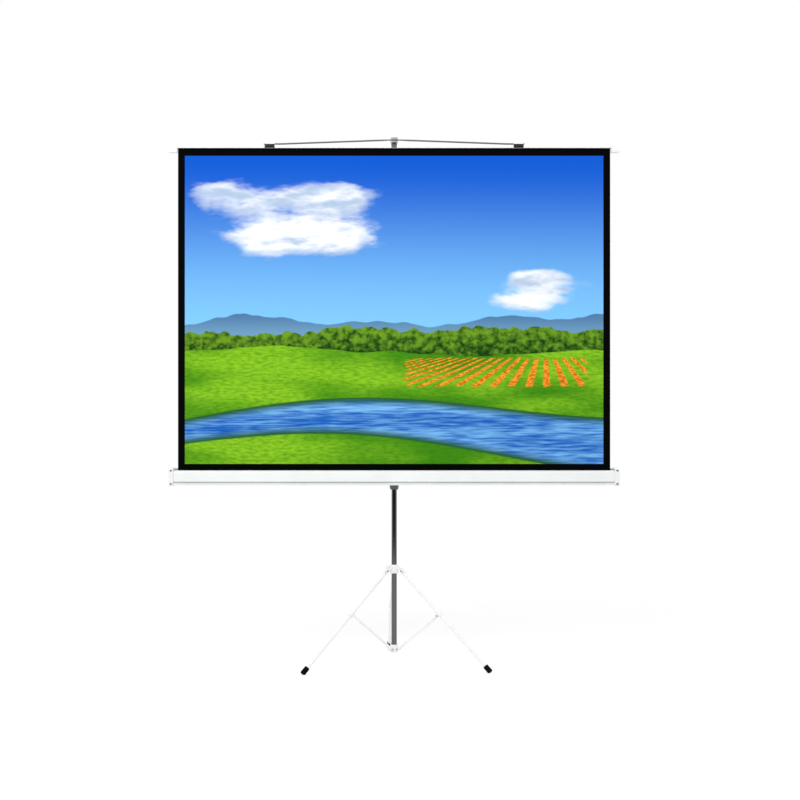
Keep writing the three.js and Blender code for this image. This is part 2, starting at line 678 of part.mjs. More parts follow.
// Hook head: a cap on the rod with a saddle in front of it, open upwards for the bail
function hookHead() {
  const capRadius = ROD_RADIUS + GAP + CAP_WALL;
  const cap = rod(capRadius, ROD_TOP - CAP_GRIP, ROD_TOP + CAP_ROOF);
  const wireRoom = BAIL_WIRE_RADIUS + GAP;
  const crownTop = HOOK_SEAT + wireRoom + HOOK_CROWN;
  const saddle = outline([
    [WIRE_Y - wireRoom - HOOK_LIP, HOOK_SEAT - HOOK_FLOOR],
    [capRadius - HOOK_WALL, HOOK_SEAT - HOOK_FLOOR - CAP_ROOF],
    [capRadius, HOOK_SEAT - HOOK_FLOOR],
    [capRadius, HOOK_SEAT + wireRoom],
    [WIRE_Y + wireRoom, HOOK_SEAT + wireRoom],
    [WIRE_Y + wireRoom, HOOK_SEAT],
    [WIRE_Y - wireRoom, HOOK_SEAT],
    [WIRE_Y - wireRoom, WIRE_Z - HOOK_LIP_BELOW_WIRE],
    [WIRE_Y - wireRoom - HOOK_LIP, WIRE_Z - HOOK_LIP_BELOW_WIRE],
  ]);
  const crown = roundedBox(WIRE_Y + wireRoom, HOOK_SEAT + wireRoom - HOOK_LIP, capRadius, crownTop, HOOK_LIP);
  const body = join(
    cap,
    barAlongX(saddle, -HOOK_WIDTH / 2, HOOK_WIDTH / 2),
    barAlongX(crown, -HOOK_CROWN_WIDTH / 2, HOOK_CROWN_WIDTH / 2),
  );
  return cut(body, rod(ROD_RADIUS + GAP, ROD_TOP - CAP_GRIP - OVERCUT, ROD_TOP + GAP));
}

function addRod() {
  addPart(stand, 'rod_lock_collar', lockCollar(), darkPlastic);
  addPart(stand, 'rod_lock_button', lockButton(), blackPlastic);
  addPart(stand, 'extension_rod', pipe(ROD_RADIUS, ROD_RADIUS - ROD_WALL, ROD_BOTTOM, ROD_TOP), darkChrome);
  addPart(stand, 'rod_guide_bush', guideBush(), blackPlastic);
  addPart(stand, 'hook_head', hookHead(), steel);
}

// Carrier: a tapered sleeve on the mast with a swivel boss in front and a lock boss behind
function caseCarrier() {
  const sleeve = revolve([
    [0, CARRIER_BOTTOM],
    [SLIDE_BORE + CARRIER_NECK_WALL, CARRIER_BOTTOM],
    [CARRIER_RADIUS, CARRIER_BOTTOM + CARRIER_TAPER],
    [CARRIER_RADIUS, CARRIER_TOP - CARRIER_SHOULDER],
    [SLIDE_BORE + CARRIER_NECK_WALL, CARRIER_TOP],
    [0, CARRIER_TOP],
  ]);
  const swivelBoss = layAlongY(rod(SWIVEL_BOSS_RADIUS, SWIVEL_FACE_Y, 0)).translate(0, 0, CASE_AXIS_Z);
  const lockZ = CASE_AXIS_Z + LOCK_RISE;
  const lockBoss = layAlongY(rod(LOCK_BOSS_RADIUS, 0, LOCK_BOSS_END, TUBE_ROUND)).translate(0, 0, lockZ);
  const bore = rod(SLIDE_BORE, CARRIER_BOTTOM - OVERCUT, CARRIER_TOP + OVERCUT);
  const boltHole = layAlongY(rod(BOLT_RADIUS + GAP, SWIVEL_FACE_Y - OVERCUT, 0, PIN_ROUND));
  boltHole.translate(0, 0, CASE_AXIS_Z);
  const screwHole = layAlongY(rod(LOCK_SCREW_RADIUS + GAP, 0, LOCK_BOSS_END + OVERCUT, PIN_ROUND));
  screwHole.translate(0, 0, lockZ);
  return cut(join(sleeve, swivelBoss, lockBoss), bore, boltHole, screwHole);
}

function swivelBolt() {
  const headFace = BRACKET_FACE_Y - BRACKET_STEEL - GAP;
  const bolt = revolve([
    [0, headFace - BOLT_HEAD],
    [BOLT_HEAD_RADIUS, headFace - BOLT_HEAD],
    [BOLT_HEAD_RADIUS, headFace],
    [BOLT_RADIUS, headFace],
    [BOLT_RADIUS, SWIVEL_FACE_Y + BOLT_GRIP],
    [0, SWIVEL_FACE_Y + BOLT_GRIP],
  ], PIN_ROUND);
  return layAlongY(bolt).translate(0, 0, CASE_AXIS_Z);
}

function carrierKnob() {
  const face = LOCK_BOSS_END + GAP;
  const knob = thumbKnob(LOCK_SCREW_RADIUS, LOCK_KNOB_RADIUS, SLIDE_BORE, face, face + LOCK_KNOB_HEIGHT);
  return layAlongY(knob).translate(0, 0, CASE_AXIS_Z + LOCK_RISE);
}

// Bracket: a hat section whose flanges lie on the back of the case and whose web turns on the swivel bolt
function caseBracket() {
  const back = CASE_BACK_Y + GAP;
  const web = BRACKET_WEB / 2;
  const end = web + BRACKET_FLANGE;
  const hat = outline([
    [-end, back],
    [-web + BRACKET_STEEL, back],
    [-web + BRACKET_STEEL, BRACKET_FACE_Y - BRACKET_STEEL],
    [web - BRACKET_STEEL, BRACKET_FACE_Y - BRACKET_STEEL],
    [web - BRACKET_STEEL, back],
    [end, back],
    [end, back + BRACKET_STEEL],
    [web, back + BRACKET_STEEL],
    [web, BRACKET_FACE_Y],
    [-web, BRACKET_FACE_Y],
    [-web, back + BRACKET_STEEL],
    [-end, back + BRACKET_STEEL],
  ]);
  const body = extrude(hat, BRACKET_HEIGHT).translate(0, 0, CASE_AXIS_Z - BRACKET_HEIGHT / 2);
  const boltEnd = BRACKET_FACE_Y + OVERCUT;
  const bolt = layAlongY(rod(BOLT_RADIUS + GAP, BRACKET_FACE_Y - BRACKET_SPACE, boltEnd, PIN_ROUND));
  return cut(body, bolt.translate(0, 0, CASE_AXIS_Z));
}

function addCarrier() {
  addPart(stand, 'case_carrier', caseCarrier(), darkPlastic);
  addPart(stand, 'swivel_bolt', swivelBolt(), steel);
  addPart(stand, 'carrier_lock_knob', carrierKnob(), blackPlastic);
  addPart(stand, 'case_bracket', caseBracket(), steel);
}

// Case outline in Y and Z about the roller axis, counterclockwise from the rear top
function caseOutline() {
  const grooveFloor = -CASE_FRONT + GROOVE_DEPTH;
  const slotFront = FABRIC_OFFSET - CASE_SLOT / 2;
  return [
    [CASE_BACK, CASE_REAR_TOP],
    [FABRIC_OFFSET, CASE_REAR_TOP],
    [slotFront, CASE_TOP],
    [-CASE_FRONT + CASE_CHAMFER, CASE_TOP],
    [-CASE_FRONT, CASE_TOP - CASE_CHAMFER],
    [-CASE_FRONT, -GROOVE_TOP],
    [grooveFloor, -GROOVE_TOP - GROOVE_SLOPE],
    [grooveFloor, -GROOVE_TOP - GROOVE_SLOPE - GROOVE_HEIGHT],
    [-CASE_FRONT, -GROOVE_TOP - 2 * GROOVE_SLOPE - GROOVE_HEIGHT],
    [-CASE_FRONT + CASE_CHAMFER, -CASE_BOTTOM],
    [CASE_BACK - CASE_CHAMFER, -CASE_BOTTOM],
    [CASE_BACK, -CASE_BOTTOM + CASE_CHAMFER],
  ];
}

function caseShell() {
  const points = caseOutline();
  const outer = barAlongX(outline(points), -SHELL_HALF, SHELL_HALF);
  const hollow = barAlongX(outline(inset(points, CASE_WALL)), -SHELL_HALF - OVERCUT, SHELL_HALF + OVERCUT);
  const slotShape = outline([
    [FABRIC_OFFSET - CASE_SLOT / 2, 0],
    [FABRIC_OFFSET + CASE_SLOT / 2, 0],
    [FABRIC_OFFSET + CASE_SLOT / 2, CASE_REAR_TOP + OVERCUT],
    [FABRIC_OFFSET - CASE_SLOT / 2, CASE_REAR_TOP + OVERCUT],
  ]);
  return cut(outer, hollow, barAlongX(slotShape, -SHELL_HALF - OVERCUT, SHELL_HALF + OVERCUT));
}

// End cap for the +X end, with a round spigot and the socket of the roller pin
function caseEndCap() {
  const side = CASE_FRONT + END_CAP_MARGIN;
  const low = -CASE_BOTTOM - END_CAP_MARGIN;
  const high = CASE_REAR_TOP + END_CAP_MARGIN;
  const shape = roundedBox(-side, low, side, high, END_CAP_CORNER);
  const cover = barAlongX(shape, CAP_FACE, CAP_FACE + END_CAP_LENGTH);
  const spigot = layAlongX(rod(SPIGOT_RADIUS, CAP_FACE - SPIGOT_LENGTH, CAP_FACE + OVERCUT));
  const mouth = CAP_FACE - SPIGOT_LENGTH - OVERCUT;
  const socket = layAlongX(rod(AXLE_RADIUS + GAP, mouth, CAP_FACE + AXLE_IN_CAP, PIN_ROUND));
  return cut(join(cover, spigot), socket);
}

function rollerPlug() {
  const barrel = ROLLER_RADIUS - ROLLER_WALL - GAP;
  const plug = revolve([
    [AXLE_RADIUS + GAP, PLUG_FACE - PLUG_LENGTH],
    [barrel, PLUG_FACE - PLUG_LENGTH],
    [barrel, ROLLER_HALF + GAP],
    [ROLLER_RADIUS, ROLLER_HALF + GAP],
    [ROLLER_RADIUS, PLUG_FACE],
    [AXLE_RADIUS + GAP, PLUG_FACE],
  ]);
  return layAlongX(plug);
}

function rollerPin() {
  return layAlongX(rod(AXLE_RADIUS, PLUG_FACE - AXLE_IN_PLUG, CAP_FACE + AXLE_IN_CAP - GAP, PIN_ROUND));
}

// The spring side's pin carries a long arbor for the torsion spring
function springArbor() {
  const shoulder = PLUG_FACE - AXLE_IN_PLUG;
  const arbor = revolve([
    [0, shoulder - ARBOR_LENGTH],
    [ARBOR_RADIUS, shoulder - ARBOR_LENGTH],
    [ARBOR_RADIUS, shoulder],
    [AXLE_RADIUS, shoulder],
    [AXLE_RADIUS, CAP_FACE + AXLE_IN_CAP - GAP],
    [0, CAP_FACE + AXLE_IN_CAP - GAP],
  ], PIN_ROUND);
  return layAlongX(arbor);
}

class Helix extends THREE.Curve {
  getPoint(t) {
    const angle = 2 * Math.PI * SPRING_TURNS * t;
    const along = -SPRING_PITCH * SPRING_TURNS * t;
    return new THREE.Vector3(along, SPRING_RADIUS * Math.cos(angle), SPRING_RADIUS * Math.sin(angle));
  }
}

function rollerSpring() {
  const wire = new THREE.Shape().absarc(0, 0, SPRING_WIRE, 0, 2 * Math.PI, false);
  const coil = new THREE.ExtrudeGeometry(wire, {
    steps: SPRING_TURNS * SPRING_STEPS,
    extrudePath: new Helix(),
    curveSegments: SPRING_SIDES / 2,
    bevelEnabled: false,
  });
  return coil.translate(PLUG_FACE - PLUG_LENGTH - SPRING_WIRE - GAP, 0, 0);
}

function screenFabric() {
  const top = FABRIC_RISE + SLAT_GROOVE_DEPTH - GAP;
  const sheet = new THREE.BoxGeometry(FABRIC_WIDTH, FABRIC_THICKNESS, top);
  return sheet.translate(0, FABRIC_OFFSET, top / 2);
}

function addCase() {
  const axis = new THREE.Group();
  axis.position.set(0, CASE_AXIS_Y, CASE_AXIS_Z);
  stand.add(axis);
  addPart(axis, 'case_shell', caseShell(), whitePaint);
  const tube = pipe(ROLLER_RADIUS, ROLLER_RADIUS - ROLLER_WALL, -ROLLER_HALF, ROLLER_HALF);
  addPart(axis, 'roller_tube', layAlongX(tube), steel);
  const roll = pipe(ROLL_RADIUS, ROLLER_RADIUS + GAP, -FABRIC_WIDTH / 2, FABRIC_WIDTH / 2);
  addPart(axis, 'fabric_roll', layAlongX(roll), fabric);
  addPart(axis, 'roller_spring', rollerSpring(), steel);
  addPart(axis, 'screen_fabric', screenFabric(), fabric);
  for (const [name, turn] of [['right', 0], ['left', Math.PI]]) {
    const flip = (geometry) => geometry.rotateZ(turn);
    addPart(axis, `case_end_cap_${name}`, flip(caseEndCap()), whitePlastic);
    addPart(axis, `roller_plug_${name}`, flip(rollerPlug()), blackPlastic);
    addPart(axis, `roller_pin_${name}`, name === 'right' ? springArbor() : flip(rollerPin()), steel);
  }
}

// Top slat: a hollow bar with a groove in its underside for the fabric, drawn about its bottom centre
function topSlat() {
  const half = SLAT_DEPTH / 2;
  const groove = SLAT_GROOVE / 2;
  const shape = new THREE.Shape();
  shape.moveTo(groove, 0);
  shape.lineTo(half, 0);
  shape.absarc(half - SLAT_EDGE, SLAT_HEIGHT - SLAT_EDGE, SLAT_EDGE, 0, Math.PI / 2, false);
  shape.absarc(-half + SLAT_EDGE, SLAT_HEIGHT - SLAT_EDGE, SLAT_EDGE, Math.PI / 2, Math.PI, false);
  shape.lineTo(-half, 0);
  shape.lineTo(-groove, 0);
  shape.lineTo(-groove, SLAT_GROOVE_DEPTH);
  shape.lineTo(groove, SLAT_GROOVE_DEPTH);
  const inside = half - SLAT_WALL;
  const floor = SLAT_GROOVE_DEPTH + SLAT_WALL;
  const roof = SLAT_HEIGHT - SLAT_WALL;
  shape.holes.push(outline([
    [-inside, floor],
    [-inside + SLAT_EDGE / 2, roof],
    [inside - SLAT_EDGE / 2, roof],
    [inside, floor],
  ]));
  return barAlongX(shape, -SLAT_HALF, SLAT_HALF);
}

function slatEndCap() {
  const half = SLAT_CAP_DEPTH / 2;
  const shape = roundedBox(-half, -SLAT_CAP_BELOW, half, SLAT_HEIGHT + SLAT_CAP_ABOVE, SLAT_CAP_CORNER);
  return barAlongX(shape, SLAT_HALF + GAP, SLAT_HALF + GAP + SLAT_CAP_LENGTH);
}

// Bail bracket: a saddle over the slat with an eye on top for the end of the bail
function bailBracket() {
  const inner = SLAT_DEPTH / 2 + GAP;
  const outer = inner + BAIL_BRACKET_WALL;
  const roof = SLAT_HEIGHT + GAP;
  const shape = new THREE.Shape();
  shape.moveTo(inner, GAP);
  shape.lineTo(outer, GAP);
  shape.lineTo(outer, roof);
  shape.absarc(0, BAIL_PIN_RISE, BAIL_BOSS_RADIUS, 0, Math.PI, false);
  shape.lineTo(-outer, roof);
  shape.lineTo(-outer, GAP);
  shape.lineTo(-inner, GAP);
  shape.lineTo(-inner, roof);
  shape.lineTo(inner, roof);
  shape.holes.push(hole(0, BAIL_PIN_RISE, BAIL_WIRE_RADIUS + GAP));
  return barAlongX(shape, BAIL_BRACKET_AT, BAIL_BRACKET_AT + BAIL_BRACKET_LENGTH);
}

// Bail: a wire with straight ends in the brackets, straight slopes and a bend at the hook
class BailLine extends THREE.Curve {
  getPoint(t) {
    const x = BAIL_HALF * (2 * t - 1);
    const out = Math.min(Math.abs(x), BAIL_BEND_AT);
    const drop = out < BAIL_CROWN ? (out * out) / (2 * BAIL_CROWN) : out - BAIL_CROWN / 2;
    return new THREE.Vector3(x, 0, BAIL_HEIGHT - BAIL_SLOPE * drop);
  }
}

function bailWire() {
  const section = new THREE.Shape().absarc(0, 0, BAIL_WIRE_RADIUS, 0, 2 * Math.PI, false);
  const wire = new THREE.ExtrudeGeometry(section, {
    steps: BAIL_STEPS,
    extrudePath: new BailLine(),
    curveSegments: BAIL_SIDES / 2,
    bevelEnabled: false,
  });
  return wire.rotateX(-BAIL_LEAN);
}

function addTop() {
  const top = new THREE.Group();
  top.position.set(0, -FABRIC_TO_MAST, SLAT_BOTTOM_Z);
  stand.add(top);
  addPart(top, 'top_slat', topSlat(), whitePaint);
  for (const [name, turn] of [['right', 0], ['left', Math.PI]]) {
    addPart(top, `slat_end_cap_${name}`, slatEndCap().rotateZ(turn), whitePlastic);
    addPart(top, `bail_bracket_${name}`, bailBracket().rotateZ(turn), blackPlastic);
  }
  addPart(top, 'bail_wire', bailWire().translate(0, 0, BAIL_PIN_RISE), steel);
}

addTripod();
addRod();
addCarrier();
addCase();
addTop();

// The origin lies on the floor under the middle of the outer box
const box = new THREE.Box3().setFromObject(stand, true);
stand.position.y = -(box.min.y + box.max.y) / 2;
model.updateMatrixWorld(true);

export default model;
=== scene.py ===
"""Looks of the tripod projection screen: finishes, cloth, small fasteners, light and camera."""
import json
import math

import bmesh
import bpy
from mathutils import Matrix, Vector


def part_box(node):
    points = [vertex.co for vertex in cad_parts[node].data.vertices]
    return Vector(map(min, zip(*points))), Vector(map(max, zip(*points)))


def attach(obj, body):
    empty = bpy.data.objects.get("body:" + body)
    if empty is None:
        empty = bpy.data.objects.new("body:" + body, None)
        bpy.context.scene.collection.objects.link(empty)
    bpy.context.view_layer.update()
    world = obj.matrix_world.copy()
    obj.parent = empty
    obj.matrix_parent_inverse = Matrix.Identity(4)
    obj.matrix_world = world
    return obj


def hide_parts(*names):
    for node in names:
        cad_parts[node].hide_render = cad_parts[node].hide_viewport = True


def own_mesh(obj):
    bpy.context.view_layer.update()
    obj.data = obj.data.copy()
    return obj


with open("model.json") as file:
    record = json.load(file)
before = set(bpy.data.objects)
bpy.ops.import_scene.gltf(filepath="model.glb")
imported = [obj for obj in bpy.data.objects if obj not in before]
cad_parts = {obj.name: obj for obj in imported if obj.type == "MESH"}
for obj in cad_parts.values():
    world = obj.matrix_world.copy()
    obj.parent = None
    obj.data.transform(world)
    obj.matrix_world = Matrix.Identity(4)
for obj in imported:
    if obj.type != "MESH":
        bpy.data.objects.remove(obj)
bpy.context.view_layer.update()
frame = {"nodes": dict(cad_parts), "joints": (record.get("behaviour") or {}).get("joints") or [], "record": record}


def rgb(red, green, blue):
    return (red, green, blue, 1.0)


# Directions
RIGHT = Vector((1, 0, 0))
FRONT = Vector((0, -1, 0))
BACK = Vector((0, 1, 0))
UP = Vector((0, 0, 1))
UPRIGHT = math.radians(90)

# Camera, from the photograph's frame of 800 by 800 pixels
IMAGE_SIDE = 800
FOCAL_PIXELS = 1500
SENSOR_MM = 36.0
CAMERA_DISTANCE = 6.115
CAMERA_HEIGHT = 1.0865
CAMERA_RIGHT = 0.024
CAMERA_SEES_TO = 200

# Values that the solids also have, lengths in metres
LEG_NAMES = ("rear", "left", "right")
FIT_GAP = 0.0003
LEG_TILT = math.radians(46)
LEG_REACH = 0.550
LEG_RADIUS = 0.008
LEG_WALL = 0.0012
TUBE_START = 0.0183
TUBE_END = 0.5377
FOOT_RADIUS = 0.011
FOOT_LENGTH = 0.032
FOOT_EDGE = 0.0025
MAST_WALL = 0.0011
ROD_WALL = 0.0012
KNOB_LOBES = 6
KNOB_DIP = 0.08
HUB_KNOB_GRIP = 0.012
CARRIER_KNOB_GRIP = 0.016
CASE_MOUTH_Z = 0.800
GROOVE_TOP_Z = 0.7545
GROOVE_BOTTOM_Z = 0.7495
GROOVE_DEPTH = 0.004
BRACKET_STEEL = 0.0025
ROLL_THICKNESS = 0.0013
BAIL_HALF = 0.531
BAIL_BEND_AT = 0.462
BAIL_CROWN = 0.012
BAIL_SLOPE = math.tan(math.radians(3.3))
BAIL_LEAN = math.radians(42)
BAIL_RADIUS = 0.0025
BAIL_BOSS_RADIUS = 0.0055
HOOK_SLACK = 0.0022
HOOK_LIP = 0.003

# Values of the scene's own forms, lengths in metres
BORDER_SIDE = 0.028
BORDER_TOP = 0.031
BORDER_BOTTOM = 0.026
TUBE_EDGE = 0.0004
FOOT_RIM = 0.0012
FOOT_RIM_RISE = 0.002
GRIP_RINGS = 3
GRIP_START = 0.007
GRIP_STEP = 0.0055
GRIP_DEPTH = 0.0011
GRIP_HALF_WIDTH = 0.0012
BUTTON_HOLE_RADIUS = 0.0056
KNOB_EDGE = 0.001
KNOB_CORNER = 0.6
KNOB_FLAT = 0.72
KNOB_SINK = 0.68
BAIL_ARM_RADIUS = 0.0034
BAIL_THIN_TO = 0.020
BAIL_THICK_FROM = 0.060
FERRULE_WALL = 0.0003
FERRULE_PLAY = 0.0004
FERRULE_REACH = 0.0006
FERRULE_EDGE = 0.0003
NECK_LENGTH = 0.0205
NECK_WALL = 0.0005
NECK_REACH = 0.0006
PAD_LENGTH = 0.025
PAD_DEPTH = 0.0052
PAD_BEHIND_LIP = 0.0028
PAD_PLAY = 0.0001
KEEPER_WIDTH = 0.022
KEEPER_THICKNESS = 0.0008
ROLL_TURNS = 4
ROLL_DIP = 0.0012
# The strip of painted shade in the case's groove
GROOVE_SHADE_THICKNESS = 0.0006
GROOVE_SHADE_SHORTENING = 0.001

# Screws: the cross is given in shares of the head's radius
SCREW_SUNK = 0.0006
SCREW_RIM = 0.0004
SCREW_SHOULDER = 0.0011
SCREW_SHOULDER_SHARE = 0.8
SCREW_TOP = 0.0014
CROSS_LENGTH = 1.1
CROSS_BREADTH = 0.22
CROSS_DEPTH = 0.0008
CROSS_RISE = 0.0012
END_SCREW_RADIUS = 0.0036
END_SCREW_OFFSETS = ((-0.021, 0.022), (0.021, -0.022))
FRONT_SCREW_RADIUS = 0.0052
FRONT_SCREW_INSET = 0.010
FRONT_SCREW_SHIFT = 0.002
SLAT_SCREW_RADIUS = 0.003
SLAT_SCREW_RISE = 0.004
BRACKET_SCREW_RADIUS = 0.0034
BRACKET_SCREW_ACROSS = 0.049
BRACKET_SCREW_UP = 0.012

# How fine the forms are
SIDES = 48
LEG_SIDES = 32
FOOT_SIDES = 40
KNOB_SIDES = 96
FERRULE_SIDES = 32
SCREW_SIDES = 24
WIRE_SIDES = 16
WIRE_STEPS = 354
SHEET_COLUMNS = 88
SHEET_ROWS = 68
MERGE = 1e-6
SLIVER = 0.00035
DRILL_SLIVER = SLIVER / 4
FLAT_ANGLE = math.radians(0.5)
CORNER_ANGLE = math.radians(35)
FOOT_CORNER_ANGLE = math.radians(30)
EDGE_STEPS = 2
EDGE_PROFILE = 0.6

# Widths of the rounded edges, by node, and by kind of node for what each leg has
EDGES = {
    "base_hub": 0.0005,
    "leg_hub": 0.0004,
    "rod_lock_collar": 0.0006,
    "rod_lock_button": 0.0004,
    "case_carrier": 0.0008,
    "case_bracket": 0.0004,
    "swivel_bolt": 0.0004,
    "case_shell": 0.0005,
    "case_end_cap_left": 0.002,
    "case_end_cap_right": 0.002,
    "top_slat": 0.0003,
    "slat_end_cap_left": 0.0018,
    "slat_end_cap_right": 0.0018,
    "bail_bracket_left": 0.0006,
    "bail_bracket_right": 0.0006,
    "hook_head": 0.0004,
}
LEG_EDGES = {
    "leg_eye": 0.0004,
    "leg_clamp": 0.0005,
    "brace": 0.0005,
    "leg_pivot": 0.0003,
    "clamp_rivet": 0.0003,
    "base_rivet": 0.0003,
}

# Light and floor: a light has its place, its aim and its power
WORLD_COLOR = rgb(1.0, 1.0, 1.0)
WORLD_STRENGTH = 1.0
FLOOR_SIDE = 60
FLOOR_GLOW = 0.66
FLOOR_GLOW_COLOR = rgb(1.0, 0.99, 0.993)
LIGHT_SIDE = 2.4
LIGHTS = {
    "key": ((-3.0, -4.6, 4.4), (0, 0, 1.1), 150),
    "fill": ((3.4, -4.2, 4.0), (0, 0, 1.0), 70),
}

# Dark boards out of the camera's sight: size, place, turn, and if it shades or shows in reflections alone
CARDS = {
    "front_card": ((9.0, 3.0), (0, -7.4, 1.5), (UPRIGHT, 0, 0), True),
    "floor_card": ((9.0, 3.0), (0, -5.9, 0.01), (0, 0, 0), False),
    "left_card": ((4.2, 2.6), (-3.1, -3.4, 1.3), (UPRIGHT, 0, UPRIGHT), True),
    "right_card": ((4.2, 2.6), (3.1, -3.4, 1.3), (UPRIGHT, 0, UPRIGHT), True),
}

# Grain of the finishes: scales are per metre, heights in metres, spans are of the noise's own value
DRIFT_SCALE = 9.0
DRIFT_DETAIL = 3.0
DRIFT_SPAN = (0.3, 0.7)
SMUDGE_SCALE = 38.0
SMUDGE_DETAIL = 4.0
SMUDGE_ROUGH = 0.6
SMUDGE_SPAN = (0.25, 0.75)
GRAIN_DETAIL = 2.0
GRAIN_HEIGHT = 0.0004
LINE_DETAIL = 3.0
LINE_SPAN = (0.3, 0.7)
LINE_BUMP = 0.05
LINE_HEIGHT = 0.0002

# Cloth: the softness of the border is a share of the cloth
CLOTH_ROUGHNESS = 0.9
WEAVE_DETAIL = 2.0
BACK_WEAVE = 900.0
BACK_WEAVE_BUMP = 0.25
BACK_WEAVE_HEIGHT = 0.0003
BACK_SPECULAR = 0.1
BACK_DARK = rgb(0.012, 0.012, 0.013)
BACK_LIGHT = rgb(0.03, 0.03, 0.031)
BACK_SHADE = rgb(0.008, 0.008, 0.009)
BACK_HANG = (5.0, 5.0, 0.6)
BACK_HANG_DETAIL = 4.0
BACK_HANG_SPAN = (0.35, 0.7)
BACK_HANG_SHARE = (0.0, 0.45)
FRONT_WEAVE = 1100.0
FRONT_WEAVE_BUMP = 0.12
FRONT_WEAVE_HEIGHT = 0.0002
FRONT_SPECULAR = 0.02
FACES_FRONT = -0.5
BORDER_DARK = rgb(0.0008, 0.0008, 0.001)
BORDER_LIGHT = rgb(0.003, 0.003, 0.0035)
BORDER_SOFT = 0.0006


def joint(name):
    return next(j for j in frame["joints"] if j["name"] == name)


def middle_of(node):
    low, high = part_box(node)
    return (low + high) / 2


# Node helpers
class Nodes:
    """A material's node tree, with short calls for the nodes that the finishes use."""

    # Places of the colour sockets on a mix node
    MIX_LOW = 6
    MIX_HIGH = 7
    MIX_RESULT = 2

    def __init__(self, name):
        self.material = bpy.data.materials.new(name)
        self.material.use_nodes = True
        self.tree = self.material.node_tree
        self.shader = self.tree.nodes["Principled BSDF"]

    def add(self, kind, **values):
        node = self.tree.nodes.new(kind)
        for key, value in values.items():
            setattr(node, key, value)
        return node

    def link(self, out, to):
        self.tree.links.new(out, to)

    def feed(self, socket, value):
        if isinstance(value, bpy.types.NodeSocket):
            self.link(value, socket)
        else:
            socket.default_value = value

    def math(self, operation, first, second=0.0):
        node = self.add("ShaderNodeMath", operation=operation)
        self.feed(node.inputs[0], first)
        self.feed(node.inputs[1], second)
        return node.outputs[0]

    def vector(self, x, y, z):
        node = self.add("ShaderNodeCombineXYZ")
        for socket, value in zip(node.inputs, (x, y, z)):
            self.feed(socket, value)
        return node.outputs[0]

    def stretched(self, vector, scale):
        node = self.add("ShaderNodeMapping")
        node.inputs["Scale"].default_value = scale
        self.link(vector, node.inputs["Vector"])
        return node.outputs["Vector"]

    def noise(self, vector, scale, detail, rough=0.5):
        node = self.add("ShaderNodeTexNoise")
        self.link(vector, node.inputs["Vector"])
        node.inputs["Scale"].default_value = scale
        node.inputs["Detail"].default_value = detail
        node.inputs["Roughness"].default_value = rough
        return node.outputs["Fac"]

    def mix_color(self, factor, low, high):
        node = self.add("ShaderNodeMix", data_type="RGBA")
        self.feed(node.inputs[0], factor)
        self.feed(node.inputs[self.MIX_LOW], low)
        self.feed(node.inputs[self.MIX_HIGH], high)
        return node.outputs[self.MIX_RESULT]

    def span(self, value, low, high, to_low=0.0, to_high=1.0):
        node = self.add("ShaderNodeMapRange", interpolation_type="SMOOTHSTEP")
        self.feed(node.inputs["Value"], value)
        node.inputs["From Min"].default_value = low
        node.inputs["From Max"].default_value = high
        node.inputs["To Min"].default_value = to_low
        node.inputs["To Max"].default_value = to_high
        return node.outputs["Result"]

    def bump(self, height, strength, distance):
        node = self.add("ShaderNodeBump")
        node.inputs["Strength"].default_value = strength
        node.inputs["Distance"].default_value = distance
        self.link(height, node.inputs["Height"])
        self.link(node.outputs["Normal"], self.shader.inputs["Normal"])

    def object_place(self):
        return self.add("ShaderNodeTexCoord").outputs["Object"]

    def set(self, socket, value):
        self.shader.inputs[socket].default_value = value

    def paint(self, color):
        self.link(color, self.shader.inputs["Base Color"])


# Finishes
def coated(name, light, dark, rough, grain, bump, specular=0.5):
    """A paint, moulded plastic or rubber: slight tone drift, uneven gloss and a fine grain.

    The roughness runs between two values. The grain is its scale, and the bump is how much of it is felt.
    """
    nodes = Nodes(name)
    place = nodes.object_place()
    drift = nodes.noise(place, DRIFT_SCALE, DRIFT_DETAIL)
    nodes.paint(nodes.mix_color(nodes.span(drift, *DRIFT_SPAN), dark, light))
    smudge = nodes.noise(place, SMUDGE_SCALE, SMUDGE_DETAIL, SMUDGE_ROUGH)
    nodes.link(nodes.span(smudge, *SMUDGE_SPAN, *rough), nodes.shader.inputs["Roughness"])
    nodes.set("Specular IOR Level", specular)
    nodes.bump(nodes.noise(place, grain, GRAIN_DETAIL), bump, GRAIN_HEIGHT)
    return nodes.material


def brushed(name, light, dark, rough, stretch):
    """A drawn metal: fine lines that run along the axis with the least stretch."""
    nodes = Nodes(name)
    lines = nodes.noise(nodes.stretched(nodes.object_place(), stretch), 1.0, LINE_DETAIL)
    nodes.paint(nodes.mix_color(lines, dark, light))
    nodes.link(nodes.span(lines, *LINE_SPAN, *rough), nodes.shader.inputs["Roughness"])
    nodes.set("Metallic", 1.0)
    nodes.bump(lines, LINE_BUMP, LINE_HEIGHT)
    return nodes.material


def cloth_back():
    """The black back of the cloth, with its weave and faint upright streaks."""
    nodes = Nodes("cloth_back_finish")
    place = nodes.object_place()
    weave = nodes.noise(place, BACK_WEAVE, WEAVE_DETAIL)
    tone = nodes.mix_color(weave, BACK_DARK, BACK_LIGHT)
    hang = nodes.noise(nodes.stretched(place, BACK_HANG), 1.0, BACK_HANG_DETAIL)
    drift = nodes.span(hang, *BACK_HANG_SPAN, *BACK_HANG_SHARE)
    nodes.paint(nodes.mix_color(drift, tone, BACK_SHADE))
    nodes.set("Roughness", CLOTH_ROUGHNESS)
    nodes.set("Specular IOR Level", BACK_SPECULAR)
    nodes.bump(weave, BACK_WEAVE_BUMP, BACK_WEAVE_HEIGHT)
    return nodes.material


